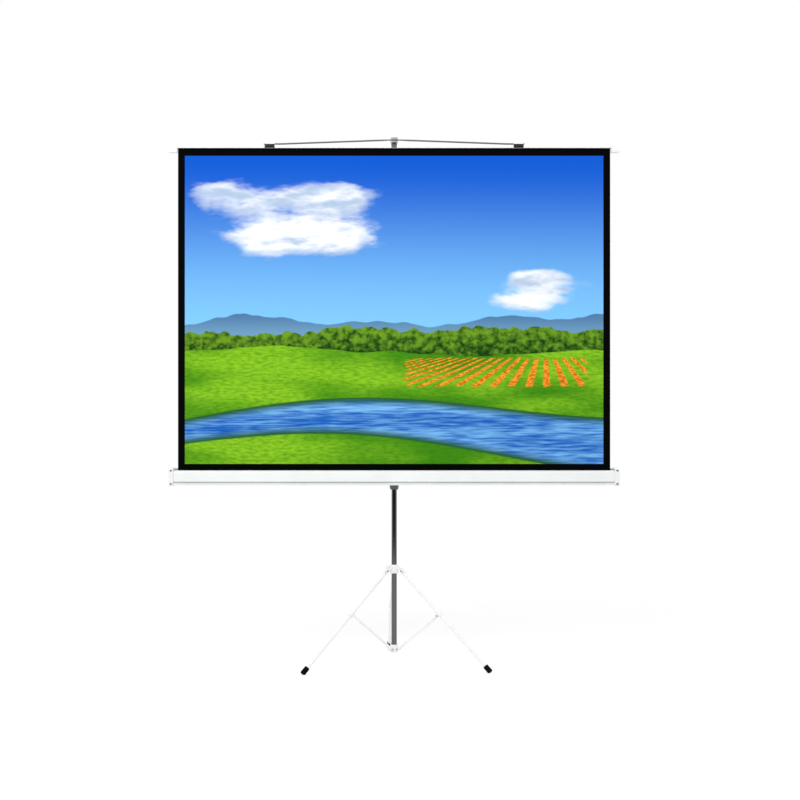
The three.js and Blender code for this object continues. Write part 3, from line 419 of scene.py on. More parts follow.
FINISHES = {
    "white_paint": coated(
        "white_paint_finish",
        light=rgb(0.85, 0.88, 0.872),
        dark=rgb(0.81, 0.84, 0.832),
        rough=(0.32, 0.45),
        grain=1400,
        bump=0.12,
    ),
    "white_plastic": coated(
        "white_plastic_finish",
        light=rgb(0.83, 0.85, 0.85),
        dark=rgb(0.78, 0.80, 0.80),
        rough=(0.34, 0.5),
        grain=900,
        bump=0.10,
    ),
    "dark_plastic": coated(
        "dark_plastic_finish",
        light=rgb(0.10, 0.118, 0.113),
        dark=rgb(0.07, 0.083, 0.08),
        rough=(0.42, 0.6),
        grain=800,
        bump=0.25,
        specular=0.35,
    ),
    "black_plastic": coated(
        "black_plastic_finish",
        light=rgb(0.012, 0.012, 0.013),
        dark=rgb(0.007, 0.007, 0.008),
        rough=(0.38, 0.55),
        grain=800,
        bump=0.2,
        specular=0.3,
    ),
    "black_rubber": coated(
        "black_rubber_finish",
        light=rgb(0.005, 0.005, 0.005),
        dark=rgb(0.002, 0.002, 0.002),
        rough=(0.7, 0.9),
        grain=500,
        bump=0.4,
        specular=0.06,
    ),
    "dark_chrome": brushed(
        "dark_chrome_finish",
        light=rgb(0.155, 0.152, 0.15),
        dark=rgb(0.11, 0.108, 0.107),
        rough=(0.07, 0.14),
        stretch=(900, 900, 3),
    ),
    "steel": brushed(
        "plated_steel_finish",
        light=rgb(0.52, 0.52, 0.53),
        dark=rgb(0.40, 0.40, 0.41),
        rough=(0.24, 0.4),
        stretch=(3, 700, 700),
    ),
    "screen_cloth": cloth_back(),
}
wire_steel = brushed(
    "wire_steel_finish",
    light=rgb(0.24, 0.24, 0.245),
    dark=rgb(0.16, 0.16, 0.165),
    rough=(0.3, 0.45),
    stretch=(3, 700, 700),
)
# The grey of the strip in the case's groove is painted shade
painted_groove_shade = coated(
    "trim_grey_finish",
    light=rgb(0.46, 0.48, 0.47),
    dark=rgb(0.41, 0.43, 0.42),
    rough=(0.5, 0.65),
    grain=700,
    bump=0.1,
    specular=0.2,
)
card_finish = coated(
    "dark_card_finish",
    light=rgb(0.075, 0.075, 0.075),
    dark=rgb(0.065, 0.065, 0.065),
    rough=(0.9, 1.0),
    grain=30,
    bump=0.02,
    specular=0.1,
)
floor_finish = coated(
    "floor_finish",
    light=rgb(0.36, 0.355, 0.357),
    dark=rgb(0.35, 0.345, 0.347),
    rough=(0.8, 0.9),
    grain=30,
    bump=0.02,
    specular=0.0,
)


# The projected picture, painted into the cloth's colour as painted light: hills, a flower field and a stream under
# a sky, made up for this part
SKY_LOW = rgb(0.22, 0.58, 0.95)
SKY_HIGH = rgb(0.006, 0.095, 0.58)
CLOUD_SHADE = rgb(0.40, 0.52, 0.70)
CLOUD_LIT = rgb(0.96, 0.97, 0.99)
HILL_LOW = rgb(0.16, 0.34, 0.52)
HILL_HIGH = rgb(0.07, 0.18, 0.36)
LEAF_SHADE = rgb(0.008, 0.05, 0.006)
LEAF_LIT = rgb(0.15, 0.33, 0.02)
GRASS_SHADE = rgb(0.05, 0.25, 0.008)
GRASS_LIT = rgb(0.25, 0.56, 0.02)
GRASS_BLADE = rgb(0.03, 0.16, 0.005)
PETAL_SHADE = rgb(0.55, 0.12, 0.008)
PETAL_LIT = rgb(0.95, 0.36, 0.03)
WATER_SHADE = rgb(0.008, 0.10, 0.46)
WATER_LIT = rgb(0.20, 0.50, 0.86)
SHORE = rgb(0.02, 0.10, 0.02)


class Picture:
    """Builds the picture's colour from two values: the share across it and the share up it.

    Places are shares of the picture. A grain is its scale across, its scale up, its seed, its detail and,
    where it isn't even, its roughness. A ridge is its height, its sway, its frequency and its seed. A patch
    has two windows, across and up, each with its low end, its high end and how soft it is.
    """

    SKY = (0.36, 1.0)
    LINE_SOFT = 0.004
    RIDGE_DETAIL = 3.0
    PUFF_SCALE = (3.6, 7.2)
    PUFF_SEED = 3.7
    PUFF_DETAIL = 9.0
    PUFF_SHADE_DETAIL = 5.0
    PUFF_ROUGH = 0.55
    PUFF_SHADE_DROP = 0.02
    PUFF_LIGHT = (0.10, -0.08)
    LEFT_BANK = ((-0.1, 0.62, 0.26), (0.60, 1.0, 0.16))
    RIGHT_BANK = ((0.58, 1.1, 0.3), (0.46, 0.70, 0.09))
    BANK_SHARE = 0.41
    BANK_EDGE = (0.72, 0.85)
    HILLS = (0.47, 0.16, 4.5, 1.3)
    HILL_HAZE = (0.40, 0.50)
    WOODS = (0.405, 0.12, 3.1, 5.2)
    CROWNS = (34.0, 0.0, 0.7, 2.0)
    CROWN_HEIGHT = 0.05
    LEAVES = (60.0, 46.0, 0.0, 5.0, 0.62)
    LEAF_DEEP = 1.8
    LEAF_LIGHT = (0.26, 0.62)
    MEADOW = (0.355, 0.12, 1.9, 8.6)
    BLADES = (60.0, 150.0, 0.0, 4.0)
    BLADE_TONE = (0.35, 0.7, 0.0, 0.5)
    SUNLIT = (2.6, 8.0, 9.0, 2.0)
    SUNLIT_TONE = (0.35, 0.65)
    ROWS_MEET = (0.86, 0.43)
    ROW_COUNT = 26.0
    ROW_RAGGED = (90.0, 160.0, 2.2, 3.0)
    ROW_RAGGED_SHARE = 1.6
    ROW_EDGE = (-0.1, 0.45)
    FIELD = ((0.50, 0.99, 0.05), (0.235, 0.36, 0.03))
    FIELD_GRAIN = (30.0, 60.0, 6.1, 3.0)
    FIELD_EDGE = (0.95, 1.2)
    PETALS = (150.0, 260.0, 4.4, 2.0)
    PETAL_TONE = (0.35, 0.65)
    STREAM_BEND = 4.2
    STREAM_SWAY = 0.05
    STREAM_HEIGHT = 0.105
    STREAM_WIDTH = 0.04
    STREAM_WIDENS = 0.05
    FINE_RIPPLE = (16.0, 150.0, 0.0, 6.0)
    FINE_RIPPLE_SHARE = 0.55
    BROAD_RIPPLE = (3.0, 24.0, 2.7, 3.0)
    BROAD_RIPPLE_SHARE = 0.45
    RIPPLE_TONE = (0.35, 0.68)
    SHORE_WIDTH = 0.03
    SHORE_SOFT = 0.003

    def __init__(self, nodes, across, up):
        self.nodes = nodes
        self.across = across
        self.up = up

    def place(self, scale, seed, up):
        """A point to read noise at: the picture's place times a scale each way."""
        x = self.nodes.math("MULTIPLY", self.across, scale[0])
        y = self.nodes.math("MULTIPLY", up, scale[1])
        return self.nodes.vector(x, y, seed)

    def grain(self, across_scale, up_scale, seed, detail, rough=0.5):
        place = self.place((across_scale, up_scale), seed, self.up)
        return self.nodes.noise(place, 1.0, detail, rough)

    def ridge(self, height, sway, frequency, seed):
        """The height of a hill line at each point across the picture."""
        wave = self.nodes.math("MULTIPLY", self.grain(frequency, 0.0, seed, self.RIDGE_DETAIL), sway)
        return self.nodes.math("ADD", height - sway / 2, wave)

    def below(self, line):
        drop = self.nodes.math("SUBTRACT", line, self.up)
        return self.nodes.span(drop, -self.LINE_SOFT / 2, self.LINE_SOFT / 2)

    def window(self, value, low, high, soft):
        rise = self.nodes.span(value, low, low + soft)
        fall = self.nodes.span(value, high, high - soft)
        return self.nodes.math("MULTIPLY", rise, fall)

    def patch(self, across, up):
        """A soft-edged rectangle."""
        return self.nodes.math("MULTIPLY", self.window(self.across, *across), self.window(self.up, *up))

    def sky(self):
        return self.nodes.mix_color(self.nodes.span(self.up, *self.SKY), SKY_LOW, SKY_HIGH)

    def clouds(self, color):
        """One tall bank on the left and one low bank on the right, lit from above."""
        nodes = self.nodes
        puff = self.grain(*self.PUFF_SCALE, self.PUFF_SEED, self.PUFF_DETAIL, self.PUFF_ROUGH)
        lower = nodes.math("SUBTRACT", self.up, self.PUFF_SHADE_DROP)
        shifted = self.place(self.PUFF_SCALE, self.PUFF_SEED, lower)
        under = nodes.noise(shifted, 1.0, self.PUFF_SHADE_DETAIL, self.PUFF_ROUGH)
        light = nodes.math("SUBTRACT", puff, under)
        bank = nodes.math("MAXIMUM", self.patch(*self.LEFT_BANK), self.patch(*self.RIGHT_BANK))
        heap = nodes.math("ADD", puff, nodes.math("MULTIPLY", bank, self.BANK_SHARE))
        cover = nodes.span(heap, *self.BANK_EDGE)
        shade = nodes.mix_color(nodes.span(light, *self.PUFF_LIGHT), CLOUD_SHADE, CLOUD_LIT)
        return nodes.mix_color(cover, color, shade)

    def hills(self, color):
        nodes = self.nodes
        haze = nodes.mix_color(nodes.span(self.up, *self.HILL_HAZE), HILL_LOW, HILL_HIGH)
        return nodes.mix_color(self.below(self.ridge(*self.HILLS)), color, haze)

    def woods(self, color):
        nodes = self.nodes
        crowns = nodes.math("MULTIPLY", self.grain(*self.CROWNS), self.CROWN_HEIGHT)
        line = nodes.math("ADD", self.ridge(*self.WOODS), crowns)
        deep = nodes.math("SUBTRACT", line, self.up)
        lit = nodes.math("SUBTRACT", self.grain(*self.LEAVES), nodes.math("MULTIPLY", deep, self.LEAF_DEEP))
        leaves = nodes.mix_color(nodes.span(lit, *self.LEAF_LIGHT), LEAF_SHADE, LEAF_LIT)
        return nodes.mix_color(self.below(line), color, leaves)

    def meadow(self, color):
        nodes = self.nodes
        sunlit = nodes.span(self.grain(*self.SUNLIT), *self.SUNLIT_TONE)
        grass = nodes.mix_color(sunlit, GRASS_SHADE, GRASS_LIT)
        blades = nodes.span(self.grain(*self.BLADES), *self.BLADE_TONE)
        grass = self.flowers(nodes.mix_color(blades, grass, GRASS_BLADE))
        return nodes.mix_color(self.below(self.ridge(*self.MEADOW)), color, grass)

    def flowers(self, grass):
        """Rows of orange flowers that run together towards a far point on the right."""
        nodes = self.nodes
        meet_across, meet_up = self.ROWS_MEET
        depth = nodes.math("SUBTRACT", meet_up, self.up)
        row = nodes.math("DIVIDE", nodes.math("SUBTRACT", self.across, meet_across), depth)
        ragged = nodes.math("MULTIPLY", self.grain(*self.ROW_RAGGED), self.ROW_RAGGED_SHARE)
        wave = nodes.math("ADD", nodes.math("MULTIPLY", row, self.ROW_COUNT), ragged)
        stripes = nodes.span(nodes.math("SINE", wave), *self.ROW_EDGE)
        field = nodes.math("ADD", self.patch(*self.FIELD), self.grain(*self.FIELD_GRAIN))
        mask = nodes.math("MULTIPLY", stripes, nodes.span(field, *self.FIELD_EDGE))
        petals = nodes.span(self.grain(*self.PETALS), *self.PETAL_TONE)
        return nodes.mix_color(mask, grass, nodes.mix_color(petals, PETAL_SHADE, PETAL_LIT))

    def stream(self, color):
        nodes = self.nodes
        bend = nodes.math("SINE", nodes.math("MULTIPLY", self.across, self.STREAM_BEND))
        middle = nodes.math("ADD", self.STREAM_HEIGHT, nodes.math("MULTIPLY", bend, self.STREAM_SWAY))
        wider = nodes.math("MULTIPLY", self.across, self.STREAM_WIDENS)
        width = nodes.math("ADD", self.STREAM_WIDTH, wider)
        off = nodes.math("ABSOLUTE", nodes.math("SUBTRACT", self.up, middle))
        bank = nodes.math("SUBTRACT", width, off)
        fine = nodes.math("MULTIPLY", self.grain(*self.FINE_RIPPLE), self.FINE_RIPPLE_SHARE)
        broad = nodes.math("MULTIPLY", self.grain(*self.BROAD_RIPPLE), self.BROAD_RIPPLE_SHARE)
        ripple = nodes.span(nodes.math("ADD", fine, broad), *self.RIPPLE_TONE)
        blue = nodes.mix_color(ripple, WATER_SHADE, WATER_LIT)
        shore = nodes.mix_color(nodes.span(bank, 0.0, self.SHORE_WIDTH), SHORE, blue)
        return nodes.mix_color(nodes.span(bank, -self.SHORE_SOFT, self.SHORE_SOFT), color, shore)

    def color(self):
        far = self.hills(self.clouds(self.sky()))
        return self.stream(self.meadow(self.woods(far)))


def screen_cloth(width, height):
    """Matte cloth: a black border round the picture, with the cloth's own fine weave. The picture is projected
    light, painted into the cloth's colour.
    """
    nodes = Nodes("screen_cloth_finish")
    corner = nodes.add("ShaderNodeSeparateXYZ")
    nodes.link(nodes.add("ShaderNodeUVMap", uv_map="cloth").outputs["UV"], corner.inputs["Vector"])
    u, v = corner.outputs["X"], corner.outputs["Y"]
    mouth = (CASE_MOUTH_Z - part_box("screen_fabric")[0].z) / height
    left = BORDER_SIDE / width
    bottom = mouth + BORDER_BOTTOM / height
    hidden = (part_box("screen_fabric")[1].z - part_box("top_slat")[0].z) / height
    top = 1 - hidden - BORDER_TOP / height
    across = nodes.math("DIVIDE", nodes.math("SUBTRACT", u, left), 1 - 2 * left)
    up = nodes.math("DIVIDE", nodes.math("SUBTRACT", v, bottom), top - bottom)
    picture = Picture(nodes, across, up)
    half = BORDER_SOFT / 2
    inside = nodes.math(
        "MULTIPLY",
        picture.window(u, left - half, 1 - left + half, BORDER_SOFT),
        picture.window(v, bottom - half, top + half, BORDER_SOFT),
    )
    weave = nodes.noise(nodes.object_place(), FRONT_WEAVE, WEAVE_DETAIL)
    border = nodes.mix_color(weave, BORDER_DARK, BORDER_LIGHT)
    # The projected picture is painted light in the cloth's base colour
    nodes.paint(nodes.mix_color(inside, border, picture.color()))
    nodes.set("Roughness", CLOTH_ROUGHNESS)
    nodes.set("Specular IOR Level", FRONT_SPECULAR)
    nodes.bump(weave, FRONT_WEAVE_BUMP, FRONT_WEAVE_HEIGHT)
    return nodes.material


# Mesh helpers
def opened(mesh):
    work = bmesh.new()
    work.from_mesh(mesh)
    return work


def put_back(work, mesh):
    work.to_mesh(mesh)
    work.free()


def mesh_from(work, name):
    mesh = bpy.data.meshes.new(name)
    put_back(work, mesh)
    return mesh


def smooth(mesh, corner=CORNER_ANGLE):
    """Smooth shading that stops at edges sharper than the corner angle."""
    for polygon in mesh.polygons:
        polygon.use_smooth = True
    work = opened(mesh)
    for edge in work.edges:
        edge.smooth = edge.is_manifold and edge.calc_face_angle(math.pi) < corner
    put_back(work, mesh)


def body_of_node(node):
    bodies = frame["record"]["behaviour"]["bodies"]
    return next(body for body, members in bodies.items() if node in members)


def slot_of_node(node):
    return next(s["material_slot"] for s in frame["record"]["subparts"] if s["node"] == node)


def new_piece(name, mesh, body, slot_name, material=None):
    """A piece on a body, in its slot's own finish unless another is given."""
    piece = bpy.data.objects.new(name, mesh)
    bpy.context.scene.collection.objects.link(piece)
    mesh.materials.clear()
    mesh.materials.append(material or FINISHES[slot_name])
    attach(piece, body)
    return piece


def skin(node, mesh, material=None):
    """A piece that takes the place of a node, on its body and in its slot."""
    piece = new_piece(node + "_skin", mesh, body_of_node(node), slot_of_node(node), material)
    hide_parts(node)


def refined(node, edge):
    """The node's own form with rounded edges and smooth round faces."""
    mesh = frame["nodes"][node].data.copy()
    work = opened(mesh)
    bmesh.ops.remove_doubles(work, verts=work.verts, dist=MERGE)
    bmesh.ops.dissolve_limit(work, angle_limit=FLAT_ANGLE, verts=work.verts, edges=work.edges)
    bmesh.ops.dissolve_degenerate(work, edges=work.edges, dist=SLIVER)
    sharp = [e for e in work.edges if e.is_manifold and e.calc_face_angle_signed(0.0) > CORNER_ANGLE]
    bmesh.ops.bevel(
        work,
        geom=sharp,
        offset=edge,
        offset_type="OFFSET",
        segments=EDGE_STEPS,
        profile=EDGE_PROFILE,
        affect="EDGES",
        clamp_overlap=False,
    )
    put_back(work, mesh)
    smooth(mesh)
    skin(node, mesh)


def turned_mesh(name, profile, start, along, sides=SIDES, lobed=None):
    """A profile of (radius, distance) points turned about the line from start along a direction.

    A lobed form gives the radius that is left at each angle.
    """
    work = bmesh.new()
    turn = along.to_track_quat("Z", "Y").to_matrix().to_4x4()
    rings = []
    for radius, distance in profile:
        count = 1 if radius == 0 else sides
        ring = []
        for i in range(count):
            angle = 2 * math.pi * i / sides
            reach = lobed(radius, angle) if lobed else radius
            ring.append(work.verts.new((reach * math.cos(angle), reach * math.sin(angle), distance)))
        rings.append(ring)
    closed = profile[0][0] > 0
    after_rings = rings[1:] + rings[:1] if closed else rings[1:]
    for low, high in zip(rings, after_rings):
        for i in range(sides):
            corners = [ring[k % len(ring)] for ring, k in ((low, i), (low, i + 1), (high, i + 1), (high, i))]
            face = list(dict.fromkeys(corners))
            if len(face) > 2:
                work.faces.new(face)
    bmesh.ops.transform(work, matrix=Matrix.Translation(start) @ turn, verts=work.verts)
    bmesh.ops.recalc_face_normals(work, faces=work.faces)
    return mesh_from(work, name)


def block_mesh(name, size, place):
    work = bmesh.new()
    scale = Matrix.Diagonal((*size, 1))
    bmesh.ops.create_cube(work, size=1.0, matrix=Matrix.Translation(place) @ scale)
    return mesh_from(work, name)


def prism_mesh(name, outline, start, end):
    """An outline of (y, z) points carried along X."""
    work = bmesh.new()
    ends = [[work.verts.new((x, y, z)) for y, z in outline] for x in (start, end)]
    for i in range(len(outline)):
        after = (i + 1) % len(outline)
        work.faces.new((ends[0][i], ends[0][after], ends[1][after], ends[1][i]))
    work.faces.new(ends[0][::-1])
    work.faces.new(ends[1])
    bmesh.ops.recalc_face_normals(work, faces=work.faces)
    return mesh_from(work, name)


def tube_profile(outer, inner, low, high, edge):
    return [
        (outer - edge, low),
        (outer, low + edge),
        (outer, high - edge),
        (outer - edge, high),
        (inner, high),
        (inner, low),
    ]


def drilled(mesh, drill):
    """The mesh with the drill's form taken out of it."""
    pair = [bpy.data.objects.new(form.name, form) for form in (mesh, drill)]
    for item in pair:
        bpy.context.scene.collection.objects.link(item)
    cut = pair[0].modifiers.new("drill", "BOOLEAN")
    cut.object = pair[1]
    shaped = pair[0].evaluated_get(bpy.context.evaluated_depsgraph_get())
    result = bpy.data.meshes.new_from_object(shaped)
    for item in pair:
        bpy.data.objects.remove(item)
    work = opened(result)
    bmesh.ops.dissolve_degenerate(work, edges=work.edges, dist=DRILL_SLIVER)
    put_back(work, result)
    return result


# Stand
def upright_tube(node, wall, hole_for=None):
    """A smooth tube in place of an upright node, drilled on one side for a button if it has one."""
    low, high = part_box(node)
    middle = middle_of(node)
    radius = (high.x - low.x) / 2
    profile = tube_profile(radius, radius - wall, low.z, high.z, TUBE_EDGE)
    mesh = turned_mesh(node, profile, Vector((middle.x, middle.y, 0)), UP)
    if hole_for:
        button = middle_of(hole_for)
        out = Vector((button.x - middle.x, button.y - middle.y, 0)).normalized()
        round_bar = [(0, 0), (BUTTON_HOLE_RADIUS, 0), (BUTTON_HOLE_RADIUS, 2 * radius), (0, 2 * radius)]
        start = Vector((middle.x, middle.y, button.z))
        mesh = drilled(mesh, turned_mesh("button_hole", round_bar, start, out))
    smooth(mesh)
    skin(node, mesh)


def leg_line(name):
    """The leg's pivot and its direction from the pivot to the foot."""
    swing = joint(f"leg_{name}_swing")
    axis = Vector(swing["axis"])
    outward = Vector((axis.y, -axis.x, 0.0))
    return Vector(swing["pos_m"]), outward * math.sin(LEG_TILT) - UP * math.cos(LEG_TILT)


def cut_at_floor(mesh):
    """Takes off what is under the floor and closes the cut."""
    work = opened(mesh)
    parts = work.verts[:] + work.edges[:] + work.faces[:]
    cut = bmesh.ops.bisect_plane(work, geom=parts, plane_co=(0, 0, 0), plane_no=UP, clear_inner=True)
    edges = [e for e in cut["geom_cut"] if isinstance(e, bmesh.types.BMEdge)]
    bmesh.ops.contextual_create(work, geom=edges)
    bmesh.ops.recalc_face_normals(work, faces=work.faces)
    put_back(work, mesh)


def leg_pieces(name):
    """The leg's tube, and its rubber boot with grip rings, cut level where it meets the floor."""
    pivot, along = leg_line(name)
    profile = tube_profile(LEG_RADIUS, LEG_RADIUS - LEG_WALL, TUBE_START, TUBE_END, TUBE_EDGE)
    tube = turned_mesh(f"leg_{name}", profile, pivot, along, LEG_SIDES)
    smooth(tube)
    skin(f"leg_tube_{name}", tube)
    top = LEG_REACH - FOOT_LENGTH
    bore = LEG_RADIUS + FIT_GAP
    points = [
        (0, TUBE_END + FIT_GAP),
        (bore, TUBE_END + FIT_GAP),
        (bore, top),
        (FOOT_RADIUS - FOOT_RIM, top),
        (FOOT_RADIUS, top + FOOT_RIM_RISE),
    ]
    for ring in range(GRIP_RINGS):
        groove = top + GRIP_START + GRIP_STEP * ring
        points += [
            (FOOT_RADIUS, groove - GRIP_HALF_WIDTH),
            (FOOT_RADIUS - GRIP_DEPTH, groove),
            (FOOT_RADIUS, groove + GRIP_HALF_WIDTH),
        ]
    points += [(FOOT_RADIUS, LEG_REACH - FOOT_EDGE), (FOOT_RADIUS - FOOT_EDGE, LEG_REACH), (0, LEG_REACH)]
    boot = turned_mesh(f"boot_{name}", points, pivot, along, FOOT_SIDES)
    cut_at_floor(boot)
    smooth(boot, FOOT_CORNER_ANGLE)
    skin(f"foot_{name}", boot)


def knob_piece(node, joint_name, grip):
    """A thumb knob with smooth finger lobes, a sunk top and its screw, on the node's own axis."""
    turn = joint(joint_name)
    start = Vector(turn["pos_m"])
    axis = Vector(turn["axis"]).normalized()
    corners = [vertex.co - start for vertex in frame["nodes"][node].data.vertices]

    def off_axis(corner):
        return corner - axis * corner.dot(axis)

    # The grip is at the end where the node is widest
    widest = max(corners, key=lambda corner: off_axis(corner).length)
    mean = sum(corner.dot(axis) for corner in corners) / len(corners)
    along = -axis if widest.dot(axis) < mean else axis
    near = min(corner.dot(along) for corner in corners)
    far = max(corner.dot(along) for corner in corners)
    screw_radius = min(off_axis(c).length for c in corners if c.dot(along) < near + KNOB_EDGE)
    spoke = off_axis(widest)
    radius = spoke.length
    turned = along.to_track_quat("Z", "Y")
    phase = math.atan2(spoke.dot(turned @ BACK), spoke.dot(turned @ RIGHT))

    def lobed(reach, angle):
        if reach < KNOB_FLAT * radius:
            return reach
        return reach * (1 - KNOB_DIP + KNOB_DIP * math.cos(KNOB_LOBES * (angle - phase)))

    low = far - grip
    profile = [
        (0, near),
        (screw_radius, near),
        (screw_radius, low),
        (radius - KNOB_EDGE, low),
        (radius, low + KNOB_EDGE),
        (radius, far - 2 * KNOB_EDGE),
        (radius - KNOB_CORNER * KNOB_EDGE, far - KNOB_CORNER * KNOB_EDGE),
        (radius - 2 * KNOB_EDGE, far),
        (KNOB_SINK * radius, far),
        (KNOB_SINK * radius - KNOB_EDGE, far - KNOB_EDGE),
        (0, far - KNOB_EDGE),
    ]
    mesh = turned_mesh(node, profile, start, along, KNOB_SIDES, lobed)
    smooth(mesh)
    skin(node, mesh)


# Bail and hook
def swept_mesh(name, points, radii):
    """A round wire along a line that lies in the bail's plane."""
    work = bmesh.new()
    across = Vector((0, math.cos(BAIL_LEAN), -math.sin(BAIL_LEAN)))
    rings = []
    for i, (point, radius) in enumerate(zip(points, radii)):
        tangent = (points[min(i + 1, len(points) - 1)] - points[max(i - 1, 0)]).normalized()
        over = tangent.cross(across)
        ring = []
        for k in range(WIRE_SIDES):
            angle = 2 * math.pi * k / WIRE_SIDES
            spoke = across * math.cos(angle) + over * math.sin(angle)
            ring.append(work.verts.new(point + radius * spoke))
        rings.append(ring)
    for low, high in zip(rings, rings[1:]):
        for k in range(WIRE_SIDES):
            after = (k + 1) % WIRE_SIDES
            work.faces.new((low[k], low[after], high[after], high[k]))
    work.faces.new(rings[0][::-1])
    work.faces.new(rings[-1])
    bmesh.ops.recalc_face_normals(work, faces=work.faces)
    return mesh_from(work, name)


def bail_rise(x):
    """The wire's height over its pivot line, in the bail's own plane."""
    out = (abs(x) + BAIL_BEND_AT - math.hypot(abs(x) - BAIL_BEND_AT, BAIL_CROWN / 2)) / 2
    drop = out * out / (2 * BAIL_CROWN) if out < BAIL_CROWN else out - BAIL_CROWN / 2
    return BAIL_SLOPE * (BAIL_BEND_AT - BAIL_CROWN / 2 - drop)


def wire_point(x):
    pin = Vector(joint("bail_swing")["pos_m"])
    lean = Vector((0, math.sin(BAIL_LEAN), math.cos(BAIL_LEAN)))
    return pin + Vector((x, 0, 0)) + lean * bail_rise(x)


def wire_radius(x):
    """Thin where the wire lies in the hook, thicker along the two arms."""
    share = (abs(x) - BAIL_THIN_TO) / (BAIL_THICK_FROM - BAIL_THIN_TO)
    return BAIL_RADIUS + (BAIL_ARM_RADIUS - BAIL_RADIUS) * min(max(share, 0.0), 1.0)


def bail_pieces():
    """The wire, and a white ferrule over each bracket's eye."""
    across = [BAIL_HALF * (2 * i / WIRE_STEPS - 1) for i in range(WIRE_STEPS + 1)]
    wire = swept_mesh("bail_wire", [wire_point(x) for x in across], [wire_radius(x) for x in across])
    smooth(wire)
    skin("bail_wire", wire, wire_steel)
    pin = Vector(joint("bail_swing")["pos_m"])
    for side in ("left", "right"):
        low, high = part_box(f"bail_bracket_{side}")
        outer = BAIL_BOSS_RADIUS + FERRULE_WALL
        inner = BAIL_ARM_RADIUS + FERRULE_PLAY
        end = high.x - low.x + FERRULE_REACH
        profile = tube_profile(outer, inner, -FERRULE_REACH, end, FERRULE_EDGE)
        start = Vector((low.x, pin.y, pin.z))
        ferrule = turned_mesh(f"ferrule_{side}", profile, start, RIGHT, FERRULE_SIDES)
        smooth(ferrule)
        new_piece(f"bail_ferrule_{side}", ferrule, "slat", "white_plastic")


def hook_pieces():
    """A dark ring round the hook's neck and a rubber strip under the wire."""
    low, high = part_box("hook_head")
    middle = middle_of("mast_tube")
    radius = high.y - middle.y
    bottom = low.z - NECK_REACH
    profile = tube_profile(radius + NECK_WALL, radius - NECK_WALL, bottom, low.z + NECK_LENGTH, TUBE_EDGE)
    neck = turned_mesh("hook_neck", profile, Vector((middle.x, middle.y, 0)), UP)
    smooth(neck)
    new_piece("hook_neck", neck, "rod", "dark_plastic")
    wire_bottom = wire_point(0).z - BAIL_RADIUS
    place = (0, low.y + HOOK_LIP + PAD_BEHIND_LIP, wire_bottom - HOOK_SLACK / 2 - PAD_PLAY)
    pad = block_mesh("hook_pad", (PAD_LENGTH, PAD_DEPTH, HOOK_SLACK), place)
    new_piece("hook_pad", pad, "rod", "black_rubber")


def slat_keeper():
    """A dark clip over the middle of the slat, open below."""
    low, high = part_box("top_slat")
    wall = KEEPER_THICKNESS
    foot = low.z + wall
    outline = [
        (low.y - wall, foot),
        (low.y - wall, high.z + wall),
        (high.y + wall, high.z + wall),
        (high.y + wall, foot),
        (high.y, foot),
        (high.y, high.z),
        (low.y, high.z),
        (low.y, foot),
    ]
    keeper = prism_mesh("slat_keeper", outline, -KEEPER_WIDTH / 2, KEEPER_WIDTH / 2)
    new_piece("slat_keeper", keeper, "slat", "dark_plastic")


# Cloth
def roll_piece():
    """The turns of cloth that stay on the roller, with the edges of the turns at each end."""
    low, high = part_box("fabric_roll")
    middle = middle_of("fabric_roll")
    inner = (high.z - low.z) / 2 - ROLL_THICKNESS
    step = ROLL_THICKNESS / ROLL_TURNS
    length = high.x - low.x
    left_end = []
    right_end = []
    for turn in range(ROLL_TURNS):
        radius = inner + step * turn
        dip = ROLL_DIP if turn % 2 else 0.0
        left_end += [(radius, dip), (radius + step, dip)]
        right_end = [(radius + step, length - dip), (radius, length - dip)] + right_end
    start = Vector((low.x, middle.y, middle.z))
    mesh = turned_mesh("fabric_roll", left_end + right_end, start, RIGHT)
    smooth(mesh)
    skin("fabric_roll", mesh)


def sheet_mesh(low, high):
    """A thin box of small quads on its front and back, with the cloth's own coordinates on them."""
    width, height = high.x - low.x, high.z - low.z
    work = bmesh.new()
    uv = work.loops.layers.uv.new("cloth")
    sides = []
    for y in (low.y, high.y):
        grid = []
        for row in range(SHEET_ROWS + 1):
            z = low.z + row / SHEET_ROWS * height
            columns = range(SHEET_COLUMNS + 1)
            grid.append([work.verts.new((low.x + c / SHEET_COLUMNS * width, y, z)) for c in columns])
        sides.append(grid)
    front, back = sides

    def quad(corners, cells):
        face = work.faces.new(corners)
        face.smooth = True
        for loop, (row, column) in zip(face.loops, cells):
            loop[uv].uv = (column / SHEET_COLUMNS, row / SHEET_ROWS)

    for row in range(SHEET_ROWS):
        for column in range(SHEET_COLUMNS):
            cells = [(row, column), (row, column + 1), (row + 1, column + 1), (row + 1, column)]
            quad([front[r][c] for r, c in cells], cells)
            cells = cells[::-1]
            quad([back[r][c] for r, c in cells], cells)
    rim = [(0, c) for c in range(SHEET_COLUMNS)]
    rim += [(r, SHEET_COLUMNS) for r in range(SHEET_ROWS)]
    rim += [(SHEET_ROWS, c) for c in range(SHEET_COLUMNS, 0, -1)]
    rim += [(r, 0) for r in range(SHEET_ROWS, 0, -1)]
    for here, after in zip(rim, rim[1:] + rim[:1]):
        cells = (after, here, here, after)
        quad([side[r][c] for side, (r, c) in zip((front, front, back, back), cells)], cells)
    return mesh_from(work, "screen_sheet")


def screen_sheet():
    low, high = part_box("screen_fabric")
    width, height = high.x - low.x, high.z - low.z
    mesh = sheet_mesh(low, high)
    sheet = new_piece("screen_sheet", mesh, "case", "screen_cloth", screen_cloth(width, height))
    mesh.materials.append(FINISHES["screen_cloth"])
    for polygon in mesh.polygons:
        polygon.material_index = 0 if polygon.normal.y < FACES_FRONT else 1
    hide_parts("screen_fabric")
    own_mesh(sheet)
